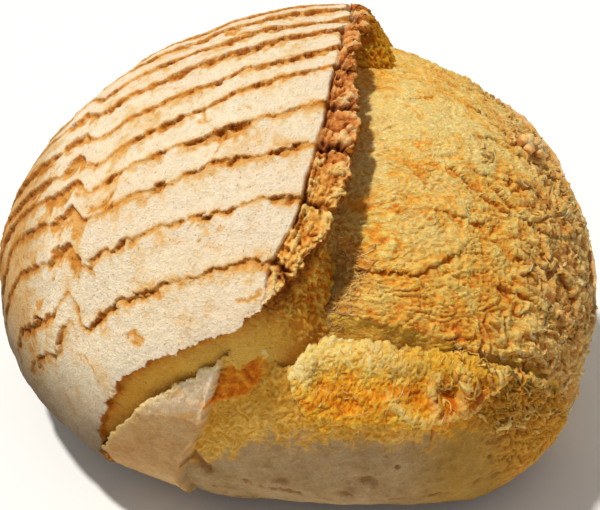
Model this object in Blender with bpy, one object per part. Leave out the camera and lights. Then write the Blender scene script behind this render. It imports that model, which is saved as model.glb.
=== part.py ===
"""Sourdough loaf: one oven-baked boule, a single solid.

A round loaf on its flat base, cut before baking by three kinds of score:
a long cut from front to back whose left side sprang up into an ear, a cut
across the front whose lower side became a lip, and a fan of shallow scores
over the crust on the left. Lengths below are in millimetres; the mesh is
scaled to metres at the end. +Z is up, and the front of the loaf faces -Y.
"""

import math

import bmesh
import bpy
import numpy as np
from mathutils import Vector

MM = 0.001

# ---- the dome -------------------------------------------------------------
GIRTH_R = 114.0  # radius where the loaf is widest
GIRTH_Z = 44.0  # height of the widest ring above the base
CROWN_H = 91.5  # dome above the widest ring
FOOT_H = 53.4  # full depth of the rounded underside, which the base cuts off
CROWN_N, FOOT_N = 2.15, 2.6  # squareness of the profile above and below
# unevenness of the dome, as shares of the radius along x, y, xy, x2-y2, the
# two three-lobed waves, xz and yz
UNEVEN = (-0.042, 0.037, -0.019, 0.034, -0.037, -0.021, -0.028, 0.015)
FOOT_SKEW = 0.10  # the same along xyz, below the widest ring only

# ---- crust, bloom and front ------------------------------------------------
CRUST_LIFT = 10.0  # how far the crust stands above the dome at the ear
CRUST_LIFT_REACH = 58.0
RIM_LIFT = 2.0  # the ear's own curl at its edge
EDGE_LIFT = 2.5  # the crust's torn edge over the front cut
BLOOM_DIP = 9.0  # valley in the crumb under the ear
BLOOM_DIP_REACH = 13.0
UNDER_CRUST = 2.5  # crumb level below the crust
GAP_DEPTH = 12.0  # bottom of the front cut, behind the lip
LIP_LIFT = 2.0
FACE_SET_BACK = 3.0  # the pale face under the lip
EAR_APEX = Vector((-32.0, 8.0, 40.0))  # the ear's wall leans away from it
FRONT_APEX = Vector((0.0, 30.0, 62.0))

# ---- scores ----------------------------------------------------------------
# the fan as lines y = a + b x in plan, front to back; the pitch and the slope
# are as uneven as the baker cut them
SCORES = [(-65.5, 0.01), (-46.5, 0.07), (-28.5, 0.135), (-12.8, 0.19), (4.5, 0.27), (15.8, 0.25),
          (31.0, 0.25), (44.0, 0.25), (56.0, 0.22), (69.0, 0.20)]
HOOK, HOOK_FROM, HOOK_TO = 11.0, 81.0, 90.0  # each score hooks back on the left flank
SCORE_END, SCORE_END_STEP = -103.0, 1.5  # left end of the first, and how much less the next reach
SCORE_OVER_RIM = 6.0  # the scores run out over the ear's rim and notch it
SCORE_W, SCORE_D = 3.4, 4.0
SLIT_W, SLIT_D = 2.2, 5.0
SLIT_IN = 9.5  # the slit runs this far inside the ear's rim

# Knots of the main cuts, as points near the dome, back to front or left to right
EAR = [(25, 104, 42), (19, 92, 78), (14, 76, 106), (14, 60, 121), (18, 38, 131), (11, 6, 135),
       (10, -24, 131), (5, -45, 125), (-5, -65, 115), (-20, -74, 106)]
CRUST_EDGE = [(-20, -74, 106), (-44, -81, 92), (-65, -81, 75), (-79, -79, 38)]
BLOOM_EDGE = [(9, -77, 106), (28, -81, 99), (56, -80, 88), (84, -72, 68)]
FLAP_EDGE = [(-31, -86, 90), (-41, -91, 74), (-49, -93, 49), (-52, -91, 34), (-50, -84, 12)]
LIP = [(-72, -72, 4), (-80, -77, 30), (-70, -84, 58), (-46, -86, 81), (-22, -86, 92), (4, -85, 97),
       (35, -86, 92), (62, -82, 81), (84, -74, 64), (90, -68, 38), (84, -64, 6)]

LONG_SEGMENTS, RINGS = 76, 40


def spline(knots, steps=8):
    """A smooth curve through the knots (Catmull-Rom)."""
    k = [np.array(p, float) for p in knots]
    k = [2 * k[0] - k[1], *k, 2 * k[-1] - k[-2]]
    out = []
    for a, b, c, d in zip(k, k[1:], k[2:], k[3:]):
        for i in range(steps):
            t = i / steps
            out.append(0.5 * (2 * b + (c - a) * t + (2 * a - 5 * b + 4 * c - d) * t * t
                              + (3 * b - a - 3 * c + d) * t ** 3))
    out.append(k[-2])
    return np.array(out)


def dome_radius(d):
    """Distance from the dome's centre to its skin along the unit directions d."""
    x, y, z = d[..., 0], d[..., 1], d[..., 2]
    rho = np.hypot(x, y)
    n = np.where(z > 0, CROWN_N, FOOT_N)
    h = np.where(z > 0, CROWN_H, FOOT_H)
    r = ((rho / GIRTH_R) ** n + (np.abs(z) / h) ** n) ** (-1 / n)
    u = UNEVEN
    return r * (1 + u[0] * x + u[1] * y + u[2] * x * y + u[3] * (x * x - y * y)
                + u[4] * (x ** 3 - 3 * x * y * y) + u[5] * (3 * x * x * y - y ** 3)
                + u[6] * x * z + u[7] * y * z + FOOT_SKEW * x * y * np.minimum(z, 0))


CENTRE = np.array([0.0, 0.0, GIRTH_Z])


def on_dome(points):
    q = np.asarray(points, float) - CENTRE
    d = q / np.linalg.norm(q, axis=-1, keepdims=True)
    return CENTRE + d * dome_radius(d)[..., None]


def distance(points, curve):
    """Distance to a curve, signed: positive on the right hand of its run, seen from outside."""
    best = np.full(len(points), 1e9)
    side = np.zeros(len(points))
    for a, b in zip(curve, curve[1:]):
        ab = b - a
        t = np.clip((points - a) @ ab / (ab @ ab), 0, 1)
        off = points - (a + t[:, None] * ab)
        dist = np.linalg.norm(off, axis=1)
        right = np.cross(ab, (a + b) / 2 - CENTRE)
        s = np.sign(off @ right)
        nearer = dist < best
        best[nearer], side[nearer] = dist[nearer], s[nearer]
    return best, best * side


ear, crust_edge, bloom_edge, lip, flap_edge = (
    on_dome(spline(k)) for k in (EAR, CRUST_EDGE, BLOOM_EDGE, LIP, FLAP_EDGE))


def smooth(x, lo, hi):
    t = np.clip((x - lo) / (hi - lo), 0, 1)
    return t * t * (3 - 2 * t)


def crust_height(p):
    d_ear, _ = distance(p, ear)
    d_edge, _ = distance(p, crust_edge)
    back = smooth(p[:, 2], 20, 90)
    return (CRUST_LIFT * np.exp(-(d_ear / CRUST_LIFT_REACH) ** 2) * back
            + RIM_LIFT * np.exp(-(d_ear / 9.0) ** 2) * back
            + EDGE_LIFT * np.exp(-(d_edge / 14.0) ** 2))


def crumb_height(p):
    """The bloom, its valley under the ear, and the floor of the front cut."""
    d_ear, s_ear = distance(p, ear)
    d_lip, s_lip = distance(p, lip)
    d_up = np.minimum(distance(p, crust_edge)[0], distance(p, bloom_edge)[0])
    up = smooth(p[:, 2], 8, 44)
    under = smooth(-s_ear, -2, 8)
    valley = -BLOOM_DIP * np.exp(-(d_ear / BLOOM_DIP_REACH) ** 2) * up
    h = valley * (1 - 0.6 * under) - UNDER_CRUST * under * (0.3 + 0.7 * up)
    cut = (1 - smooth(p[:, 0], 64, 88)) * up
    depth = 1 + (GAP_DEPTH - 1) * cut
    share = np.clip(d_up / np.maximum(d_up + d_lip, 1e-6), 0, 1)
    near = np.exp(-(np.minimum(d_up, d_lip) / 17.0) ** 2)
    in_gap = -(UNDER_CRUST * cut + (depth - UNDER_CRUST * cut) * smooth(share, 0.1, 0.9)) * near
    return np.minimum(h, np.where(s_lip > 0, -depth, in_gap))


def front_height(p):
    d_lip, _ = distance(p, lip)
    _, s_flap = distance(p, flap_edge)
    face = (smooth(d_lip, 11, 20) * smooth(-s_flap, -1, 8) * (1 - smooth(p[:, 0], 52, 78))
            * smooth(p[:, 2], 6, 26))
    return LIP_LIFT * np.exp(-(d_lip / 12.0) ** 2) - FACE_SET_BACK * face


def dome(name, height):
    """A UV sphere drawn out to the dome, with the given height over its skin."""
    bm = bmesh.new()
    bmesh.ops.create_uvsphere(bm, u_segments=LONG_SEGMENTS, v_segments=RINGS, radius=1.0)
    bmesh.ops.triangulate(bm, faces=bm.faces)
    d = np.array([v.co.normalized() for v in bm.verts], float)
    skin = CENTRE + d * dome_radius(d)[:, None]
    placed = skin + d * height(skin)[:, None]
    for v, co in zip(bm.verts, placed):
        v.co = co
    return bake(name, bm)


def bake(name, bm, tool=False):
    bmesh.ops.recalc_face_normals(bm, faces=bm.faces)
    mesh = bpy.data.meshes.new(name)
    bm.to_mesh(mesh)
    bm.free()
    obj = bpy.data.objects.new(name, mesh)
    bpy.context.scene.collection.objects.link(obj)
    if tool:
        obj.hide_render = True
        obj.display_type = "WIRE"
    return obj


def sector(name, ring, apex, far):
    """A cone from apex through the ring of points, reaching well past the loaf, closed by a cap to far."""
    bm = bmesh.new()
    tip = bm.verts.new(apex)
    cap = bm.verts.new(far)
    out = [bm.verts.new(apex + (Vector(p) - apex) * 2.6) for p in ring]
    for a, b in zip(out, out[1:] + out[:1]):
        bm.faces.new((tip, a, b))
        bm.faces.new((cap, b, a))
    return bake(name, bm, tool=True)


def blade(name, path, width, depth, rise=4.0, lift=0.0):
    """A wedge that follows a path over the crust: its sharp edge down, its flat top above the skin."""
    path = np.asarray(path, float)
    out = path - CENTRE
    out /= np.linalg.norm(out, axis=1, keepdims=True)
    along = np.gradient(path, axis=0)
    along /= np.linalg.norm(along, axis=1, keepdims=True)
    across = np.cross(along, out)
    bm = bmesh.new()
    rows = []
    for p, n, c in zip(path, out, across):
        top = p + n * (lift + rise)
        wide = width / 2 * (depth + rise) / depth
        rows.append([bm.verts.new(top - c * wide), bm.verts.new(top + c * wide), bm.verts.new(p + n * (lift - depth))])
    for a, b in zip(rows, rows[1:]):
        for i in range(3):
            j = (i + 1) % 3
            bm.faces.new((a[i], a[j], b[j], b[i]))
    bm.faces.new(rows[0])
    bm.faces.new(rows[-1])
    bmesh.ops.triangulate(bm, faces=bm.faces)
    return bake(name, bm, tool=True)


def combine(target, tool, operation):
    mod = target.modifiers.new(operation.lower(), "BOOLEAN")
    mod.object, mod.operation, mod.solver = tool, operation, "EXACT"
    bpy.context.view_layer.update()
    graph = bpy.context.evaluated_depsgraph_get()
    mesh = bpy.data.meshes.new_from_object(target.evaluated_get(graph))
    target.modifiers.remove(mod)
    target.data = mesh
    bpy.data.objects.remove(tool)


def build():
    for o in list(bpy.data.objects):
        bpy.data.objects.remove(o)

    # crumb body: the bloom on the right, and the floor of both cuts
    loaf = dome("loaf", crumb_height)

    # floured crust on the left and round the back, ending in the ear
    crust = dome("crust", crust_height)
    tail = [(-74, -72, 4), (-60, -62, -60), (0, 0, -90), (60, 60, -60), (44, 96, 10)]
    ring = [*ear, *crust_edge[1:], *tail]
    combine(crust, sector("crust_sector", ring, EAR_APEX, (-420, 60, 60)), "INTERSECT")

    # front body: flap, lip and the pale face under it
    front = dome("front", front_height)
    ring = [*lip, (76, -60, -40), (0, -30, -80), (-70, -60, -40)]
    combine(front, sector("front_sector", ring, FRONT_APEX, (0, -420, 30)), "INTERSECT")

    combine(loaf, crust, "UNION")
    combine(loaf, front, "UNION")

    # fan of scores over the crust, from the left side out over the ear
    for k, (a, b) in enumerate(SCORES):
        rim = ear[np.argmin(np.abs(ear[:, 1] - a - b * ear[:, 0]) + 200 * (ear[:, 2] < 60)), 0]
        xs = np.linspace(rim + SCORE_OVER_RIM, SCORE_END + SCORE_END_STEP * k, 14)
        plan = np.stack([xs, a + b * xs + HOOK * smooth(-xs, HOOK_FROM, HOOK_TO)], -1)
        reach = np.hypot(plan[:, 0], plan[:, 1]).clip(0, 104)
        z = GIRTH_Z + CROWN_H * np.sqrt(1 - (reach / 116) ** 2)
        path = on_dome(np.c_[plan, z])
        path += (path - CENTRE) / np.linalg.norm(path - CENTRE, axis=1)[:, None] * crust_height(path)[:, None]
        combine(loaf, blade(f"score_{k}", path, SCORE_W, SCORE_D), "DIFFERENCE")

    # the slit that runs along the ear, inside its rim
    run = ear[20:-2:3]
    out = (run - CENTRE) / np.linalg.norm(run - CENTRE, axis=1)[:, None]
    along = np.gradient(run, axis=0)
    along /= np.linalg.norm(along, axis=1)[:, None]
    path = on_dome(run + np.cross(along, out) * SLIT_IN)
    path += (path - CENTRE) / np.linalg.norm(path - CENTRE, axis=1)[:, None] * crust_height(path)[:, None]
    combine(loaf, blade("slit", path, SLIT_W, SLIT_D), "DIFFERENCE")

    # flat base
    bm = bmesh.new()
    bmesh.ops.create_cube(bm, size=400.0)
    bmesh.ops.translate(bm, verts=bm.verts, vec=(0, 0, -200))
    combine(loaf, bake("table", bm, tool=True), "DIFFERENCE")

    # origin at the middle of the footprint, size in metres
    co = np.array([v.co for v in loaf.data.vertices])
    low, high = co.min(0), co.max(0)
    print("box", low, high)
    shift = Vector((-(low[0] + high[0]) / 2, -(low[1] + high[1]) / 2, 0))
    for v in loaf.data.vertices:
        v.co = (v.co + shift) * MM

    bm = bmesh.new()
    bm.from_mesh(loaf.data)
    bmesh.ops.remove_doubles(bm, verts=bm.verts, dist=0.02 * MM)
    bmesh.ops.dissolve_degenerate(bm, dist=0.01 * MM, edges=bm.edges)
    bmesh.ops.triangulate(bm, faces=bm.faces)
    print("triangles", len(bm.faces), "open edges", sum(not e.is_manifold for e in bm.edges))
    bm.to_mesh(loaf.data)
    bm.free()

    mat = bpy.data.materials.new("floured_crust")
    mat.use_nodes = True
    shader = mat.node_tree.nodes["Principled BSDF"]
    shader.inputs["Base Color"].default_value = (0.72, 0.52, 0.30, 1)
    shader.inputs["Roughness"].default_value = 0.85
    shader.inputs["Metallic"].default_value = 0.0
    loaf.data.materials.clear()
    loaf.data.materials.append(mat)
    loaf.data.shade_smooth()
    loaf.data.set_sharp_from_angle(angle=math.radians(35))


build()
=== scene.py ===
"""Looks of a round country loaf: floured crust with scores, ear, burst crumb, torn front lip.

Everything is worked out in millimetres about the loaf's own axis, then placed in the row frame in metres.
Each big surface is a sheet: a grid laid over the loaf's dome, pushed in and out, whose free edge turns
down (or away) past a torn rim and runs on into the cut. Colour is worked out with the shape, point by
point, and each material adds its own fine grain, specks and bump.
"""

import math

import bpy
import numpy as np
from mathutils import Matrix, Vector


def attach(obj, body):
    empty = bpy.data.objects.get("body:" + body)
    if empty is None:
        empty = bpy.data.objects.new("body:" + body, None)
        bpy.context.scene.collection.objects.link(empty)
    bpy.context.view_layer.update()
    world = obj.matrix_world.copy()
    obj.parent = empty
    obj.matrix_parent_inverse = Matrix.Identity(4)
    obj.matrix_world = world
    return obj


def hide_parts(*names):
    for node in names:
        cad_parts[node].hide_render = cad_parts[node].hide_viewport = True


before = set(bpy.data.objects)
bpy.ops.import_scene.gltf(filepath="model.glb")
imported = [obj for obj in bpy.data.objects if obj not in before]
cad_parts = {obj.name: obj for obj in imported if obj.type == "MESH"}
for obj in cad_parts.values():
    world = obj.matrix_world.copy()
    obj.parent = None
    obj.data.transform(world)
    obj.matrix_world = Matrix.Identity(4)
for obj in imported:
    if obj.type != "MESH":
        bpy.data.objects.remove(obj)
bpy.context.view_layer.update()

MM = 0.001
SHIFT = np.array([10.082, -10.095, 0.0])  # the loaf's axis, seen from the middle of its footprint
RES = 1.0

# ---------------------------------------------------------------- the dome
GIRTH_R, GIRTH_Z = 114.0, 44.0
CROWN_H, FOOT_H = 91.5, 53.4
CROWN_N, FOOT_N = 2.15, 2.6
UNEVEN = (-0.042, 0.037, -0.019, 0.034, -0.037, -0.021, -0.028, 0.015)
FOOT_SKEW = 0.10
CENTRE = np.array([0.0, 0.0, GIRTH_Z])

# ---------------------------------------------------------------- sizes
CRUST_LIFT, LIFT_REACH = 10.0, 58.0
RIM_LIFT = 2.0
# how far the slit runs inside the ear's rim, by distance back from the ear's front tip
SLIT_IN = [(0, 2.0), (7, 7.0), (17, 10.3), (60, 11.2), (73, 9.6), (82, 7.8), (94, 5.8), (110, 4.8), (140, 4.2)]
SLIT_W, SLIT_D = 0.5, 3.2
EAR_WALL, EAR_HANG = 22.0, 5.5
VALLEY_DIP, VALLEY_REACH = 6.5, 13.0
LIP_LIFT = 2.5
FACE_SET_BACK = 3.2

# scores, as lines y = a + b x in plan; at the left flank each one hooks back, then runs on down and back
SCORES = [(-65.5, 0.01), (-46.5, 0.07), (-28.5, 0.135), (-12.8, 0.19), (4.5, 0.27), (15.8, 0.25),
          (31.0, 0.25), (44.0, 0.25), (56.0, 0.22), (69.0, 0.20), (83.0, 0.18), (-73.0, 0.0)]
HOOK, HOOK_FROM, HOOK_TO = 11.0, 81.0, 90.0
FLANK_RUN, FLANK_FROM = 0.6, 97.0
# places where a score gapes: (score, x, half length, gape)
GAPES = [(0, -55, 6, 3.0), (0, -64, 5, 2.8), (0, -79, 8, 2.6), (0, -106, 6, 5.0), (0, -34, 4, 1.4),
         (1, -32, 5, 2.4), (1, -49, 4, 1.4), (1, -63, 4, 2.0), (1, -69, 3, 3.4), (1, -78, 4, 2.0), (1, -91, 7, 6.0),
         (2, -13, 6, 2.4), (2, -33, 4, 1.5), (2, -44, 3, 1.5), (2, -56, 4, 2.2), (2, -90, 8, 6.5),
         (3, -11, 3, 2.2), (3, -33, 9, 4.4), (3, -44, 4, 3.4), (3, -57, 3, 2.4), (3, -73, 4, 2.0), (3, -94, 8, 6.5),
         (4, -20, 4, 2.4), (4, -54, 5, 3.4), (4, -63, 5, 2.6), (4, -91, 5, 5.0), (4, -110, 10, 4.5),
         (5, -22, 4, 2.4), (5, -14, 4, 1.8), (5, -66, 4, 1.8), (5, -91, 6, 5.5), (5, -110, 12, 5.0),
         (6, -5, 5, 3.0), (6, -36, 7, 2.6), (6, -60, 6, 2.4), (6, -76, 6, 2.4), (6, -90, 7, 5.0),
         (7, -57, 7, 1.8), (7, -80, 8, 2.6), (8, -66, 8, 2.4), (9, -60, 12, 2.6), (11, -99, 4, 2.2)]

RIM = [(30, 112, -14), (29, 110, 8), (25, 104, 42), (20, 92, 78), (16, 77, 104), (14, 62, 120), (15, 52, 127),
       (15, 43, 131), (12, 34, 133), (11, 25, 134), (11, 14, 134), (10, -2, 135), (10, -24, 131), (6, -41, 127), (2, -54, 121),
       (-3, -63, 116), (-13, -71, 110), (-26, -80, 101), (-44, -81, 92), (-66, -80, 76), (-77, -79, 53), (-80, -77, 34),
       (-77, -72, 14), (-69, -63, -8)]
TIP = (-18, -73, 108)
EAR = RIM[5:18]
FRONT_RIM = [(-66, -62, -10), (-78, -74, 12), (-82, -77, 33), (-74, -82, 49), (-60, -86, 69), (-46, -86, 81),
             (-31, -86, 91), (-23, -86, 93), (-17, -89, 89), (-12, -89, 90), (-4, -86, 95), (7, -85, 97),
             (25, -86, 94), (46, -84, 89), (64, -82, 80), (80, -76, 65), (92, -66, 40), (90, -58, 14),
             (82, -50, -10)]
BLOOM_EDGE = [(-60, -74, 90), (-40, -80, 93), (-21, -81, 99), (-8, -82, 101), (4, -79, 104), (13, -80, 103),
              (28, -81, 99), (48, -82, 91), (69, -78, 80), (82, -73, 68), (93, -64, 44), (96, -56, 20), (86, -52, -12)]
FRINGE = [(-16, -86, 94), (-12, -92, 85), (-9, -96, 77), (-3, -99, 71), (18, -99, 72), (32, -98, 70), (44, -96, 69),
          (56, -89, 75), (66, -81, 80), (80, -68, 78)]
FLAP_EDGE = [(-24, -78, 98), (-32, -85, 90), (-37, -88, 82), (-43, -93, 62), (-49, -93, 47), (-52, -91, 34), (-50, -84, 12)]
FLAP_STEP = [(-80, -78, 42), (-67, -84, 62), (-58, -88, 64), (-50, -90, 65), (-43, -93, 62), (-36, -95, 60)]
GULLY = [(6, -66, 114), (-1, -73, 109), (-9, -84, 98), (-15, -87, 93)]
FAR_CRUST = [(80, -56, -12), (90, -56, 6), (100, -52, 30), (105, -36, 56), (104, -8, 74), (95, 28, 84), (82, 62, 84), (62, 92, 66),
             (40, 112, 20)]

# ---------------------------------------------------------------- small tools
RNG = np.random.RandomState(7)
_perm = RNG.permutation(256)
PERM = np.concatenate([_perm, _perm, _perm]).astype(np.int32)
_g = RNG.normal(size=(256, 3))
GRAD = (_g / np.linalg.norm(_g, axis=1, keepdims=True)).astype(np.float32)
JIT = RNG.rand(256, 3).astype(np.float32)


def noise(p, freq=1.0, seed=0):
    """Gradient noise, about -1 to 1. freq is in waves per mm, one number or three."""
    p = np.asarray(p)
    q = (p * freq + seed * np.array([17.3, 5.9, 11.7])).reshape(-1, 3)
    i = np.floor(q)
    f = (q - i).astype(np.float32)
    i = i.astype(np.int32) & 255
    u = f * f * f * (f * (f * 6 - 15) + 10)
    out = np.zeros(len(q), np.float32)
    for dx in (0, 1):
        wx = u[:, 0] if dx else 1 - u[:, 0]
        hx = PERM[i[:, 0] + dx] + i[:, 1]
        for dy in (0, 1):
            wy = wx * (u[:, 1] if dy else 1 - u[:, 1])
            hy = PERM[hx + dy] + i[:, 2]
            for dz in (0, 1):
                g = GRAD[PERM[hy + dz]]
                d = g[:, 0] * (f[:, 0] - dx) + g[:, 1] * (f[:, 1] - dy) + g[:, 2] * (f[:, 2] - dz)
                out += wy * (u[:, 2] if dz else 1 - u[:, 2]) * d
    return (out * 1.8).reshape(p.shape[:-1])


def fbm(p, freq, octaves=3, seed=0, gain=0.5):
    out, amp = 0, 1.0
    for k in range(octaves):
        out = out + amp * noise(p, np.asarray(freq) * 2.03 ** k, seed + 3 * k)
        amp *= gain
    return out


def cells(p, freq, seed=0):
    """Cell noise: distances to the nearest and second nearest scattered point, in cell widths, and a
    number from -1 to 1 that is the same all over each cell."""
    p = np.asarray(p)
    q = (p * freq + seed * np.array([7.1, 3.7, 9.3])).reshape(-1, 3)
    i = np.floor(q)
    f = (q - i).astype(np.float32)
    i = i.astype(np.int32) & 255
    f1 = np.full(len(q), 9.0, np.float32)
    f2, who = f1.copy(), np.zeros(len(q), np.int32)
    for dx in (-1, 0, 1):
        hx = PERM[(i[:, 0] + dx) & 255] + i[:, 1]
        for dy in (-1, 0, 1):
            hy = PERM[(hx + dy) & 511] + i[:, 2]
            for dz in (-1, 0, 1):
                h = PERM[(hy + dz) & 511]
                j = JIT[h]
                d = ((j[:, 0] + dx - f[:, 0]) ** 2 + (j[:, 1] + dy - f[:, 1]) ** 2 + (j[:, 2] + dz - f[:, 2]) ** 2)
                f2 = np.minimum(f2, np.maximum(f1, d))
                who = np.where(d < f1, h, who)
                f1 = np.minimum(f1, d)
    shape = p.shape[:-1]
    return np.sqrt(f1).reshape(shape), np.sqrt(f2).reshape(shape), (JIT[PERM[who], 1] * 2 - 1).reshape(shape)


def smooth(x, lo, hi):
    t = np.clip((x - lo) / (hi - lo), 0, 1)
    return t * t * (3 - 2 * t)


def bell(x, reach):
    return np.exp(-(np.asarray(x) / reach) ** 2)


def mix(a, b, t):
    t = np.clip(t, 0, 1)
    if np.ndim(a) > np.ndim(t) or np.ndim(b) > np.ndim(t):
        t = np.asarray(t)[..., None]
    return a * (1 - t) + b * t


def scale(a, b, t):
    """Colour factors going from a to b as t goes from 0 to 1."""
    t = t[..., None]
    return np.array(a) * (1 - t) + np.array(b) * t


def unit(v):
    v = np.asarray(v, float)
    return v / np.maximum(np.linalg.norm(v, axis=-1, keepdims=True), 1e-9)


def linear(rgb):
    c = np.asarray(rgb, float) / 255
    return np.where(c <= 0.04045, c / 12.92, ((c + 0.055) / 1.055) ** 2.4)


def ramp(x, stops):
    """Colour along a list of (place, (red, green, blue) as 0 to 255), returned as linear light."""
    at = [s[0] for s in stops]
    rgb = np.stack([np.interp(x, at, [s[1][c] for s in stops]) for c in range(3)], -1)
    return linear(rgb)


def dome_radius(d):
    x, y, z = d[..., 0], d[..., 1], d[..., 2]
    rho = np.hypot(x, y)
    n = np.where(z > 0, CROWN_N, FOOT_N)
    h = np.where(z > 0, CROWN_H, FOOT_H)
    r = ((rho / GIRTH_R) ** n + (np.abs(z) / h) ** n) ** (-1 / n)
    u = UNEVEN
    return r * (1 + u[0] * x + u[1] * y + u[2] * x * y + u[3] * (x * x - y * y)
                + u[4] * (x ** 3 - 3 * x * y * y) + u[5] * (3 * x * x * y - y ** 3)
                + u[6] * x * z + u[7] * y * z + FOOT_SKEW * x * y * np.minimum(z, 0))


def on_dome(p):
    d = unit(np.asarray(p, float) - CENTRE)
    return CENTRE + d * dome_radius(d)[..., None]


def spline(knots, steps=8):
    k = [np.array(p, float) for p in knots]
    k = [2 * k[0] - k[1], *k, 2 * k[-1] - k[-2]]
    out = []
    for a, b, c, d in zip(k, k[1:], k[2:], k[3:]):
        for i in range(steps):
            t = i / steps
            out.append(0.5 * (2 * b + (c - a) * t + (2 * a - 5 * b + 4 * c - d) * t * t
                              + (3 * b - a - 3 * c + d) * t ** 3))
    out.append(k[-2])
    return np.array(out)


class Line:
    """A line over the dome. Positive distances lie on the right of its run, seen from outside."""

    def __init__(self, knots):
        self.p = on_dome(spline(knots))
        step = np.linalg.norm(np.diff(self.p, axis=0), axis=1)
        self.t = np.r_[0, np.cumsum(step)]
        self.length = self.t[-1]
        self.along = unit(np.gradient(self.p, axis=0))
        self.out = unit(self.p - CENTRE)
        self.right = unit(np.cross(self.along, self.out))

    def measure(self, pts):
        """Signed distance and place along the line."""
        flat = np.asarray(pts).reshape(-1, 3)
        best = np.full(len(flat), 1e18)
        s = np.zeros(len(flat))
        t = np.zeros(len(flat))
        for i in range(len(self.p) - 1):
            a, ab = self.p[i], self.p[i + 1] - self.p[i]
            l2 = ab @ ab
            u = np.clip((flat - a) @ ab / l2, 0, 1)
            off = flat - a - u[:, None] * ab
            d2 = np.einsum("ij,ij->i", off, off)
            side = off @ np.cross(ab, self.out[i])
            near = d2 < best - 1e-9
            best[near] = d2[near]
            s[near] = np.sign(side[near])
            t[near] = self.t[i] + u[near] * math.sqrt(l2)
        return (np.sqrt(best) * s).reshape(pts.shape[:-1]), t.reshape(pts.shape[:-1])

    def at(self, t, what):
        arr = getattr(self, what)
        return np.stack([np.interp(t, self.t, arr[:, c]) for c in range(3)], -1)

    def place(self, point):
        return self.measure(np.asarray(point, float)[None])[1][0]


def grade(stops):
    """Grid lines from the first stop to past the last. Each stop is (place, spacing)."""
    at, gap = [s[0] for s in stops], [s[1] for s in stops]
    xs = [at[0]]
    while xs[-1] < at[-1] or (len(xs) - 1) % 4:
        xs.append(xs[-1] + np.interp(xs[-1], at, gap) * RES)
    return np.array(xs)


def _taps(n):
    """Weights that carry a field from every fourth grid line to all of them (cubic)."""
    i = np.arange(n)
    c, t = i // 4, (i % 4) / 4
    last = (n - 1) // 4
    w = [-0.5 * t + t * t - 0.5 * t ** 3, 1 - 2.5 * t * t + 1.5 * t ** 3,
         0.5 * t + 2 * t * t - 1.5 * t ** 3, -0.5 * t * t + 0.5 * t ** 3]
    return [(np.clip(c + k - 1, 0, last), w[k]) for k in range(4)]


class Sheet:
    """A grid over the dome, spread out flat about an axis."""

    def __init__(self, axis, up, us, vs):
        c = unit(axis)
        e1 = unit(np.cross(up, c))
        e2 = np.cross(c, e1)
        self.us, self.vs = us, vs
        U, V = np.meshgrid(us, vs, indexing="ij")
        th = np.maximum(np.hypot(U, V) / 100, 1e-9)
        k = np.sin(th) / th / 100
        self.d = np.cos(th)[..., None] * c + (k * U)[..., None] * e1 + (k * V)[..., None] * e2
        self.p = CENTRE + self.d * dome_radius(self.d)[..., None]
        self.n = grid_normals(self.p)
        self.coarse = self.p[::4, ::4]
        self.tu, self.tv = _taps(len(us)), _taps(len(vs))

    def fine(self, f):
        a = sum(f[i] * (w[:, None] if f.ndim == 2 else w[:, None, None]) for i, w in self.tu)
        return sum(a[:, i] * (w[None, :] if f.ndim == 2 else w[None, :, None]) for i, w in self.tv)

    def measure(self, line):
        s, t = line.measure(self.coarse)
        return self.fine(s), self.fine(t)

    def away(self, line):
        """Distance from a line on either side of it, and past its ends."""
        return np.abs(self.fine(np.abs(line.measure(self.coarse)[0])))

    def slow(self, freq, octaves=2, seed=0):
        """Smooth noise, worked out on the coarse grid."""
        return self.fine(fbm(self.coarse, freq, octaves, seed))


def grid_normals(p):
    return unit(np.cross(np.gradient(p, axis=0), np.gradient(p, axis=1)))


# ---------------------------------------------------------------- materials
def node(tree, kind, **sets):
    n = tree.nodes.new(kind)
    for k, v in sets.items():
        if k.startswith("in_"):
            n.inputs[k[3:].replace("_", " ")].default_value = v
        else:
            setattr(n, k, v)
    return n


def remap(tree, value, lo, hi, out_lo, out_hi):
    n = node(tree, "ShaderNodeMapRange")
    for key, v in (("From Min", lo), ("From Max", hi), ("To Min", out_lo), ("To Max", out_hi)):
        n.inputs[key].default_value = v
    tree.links.new(value, n.inputs["Value"])
    return n.outputs[0]


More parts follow.
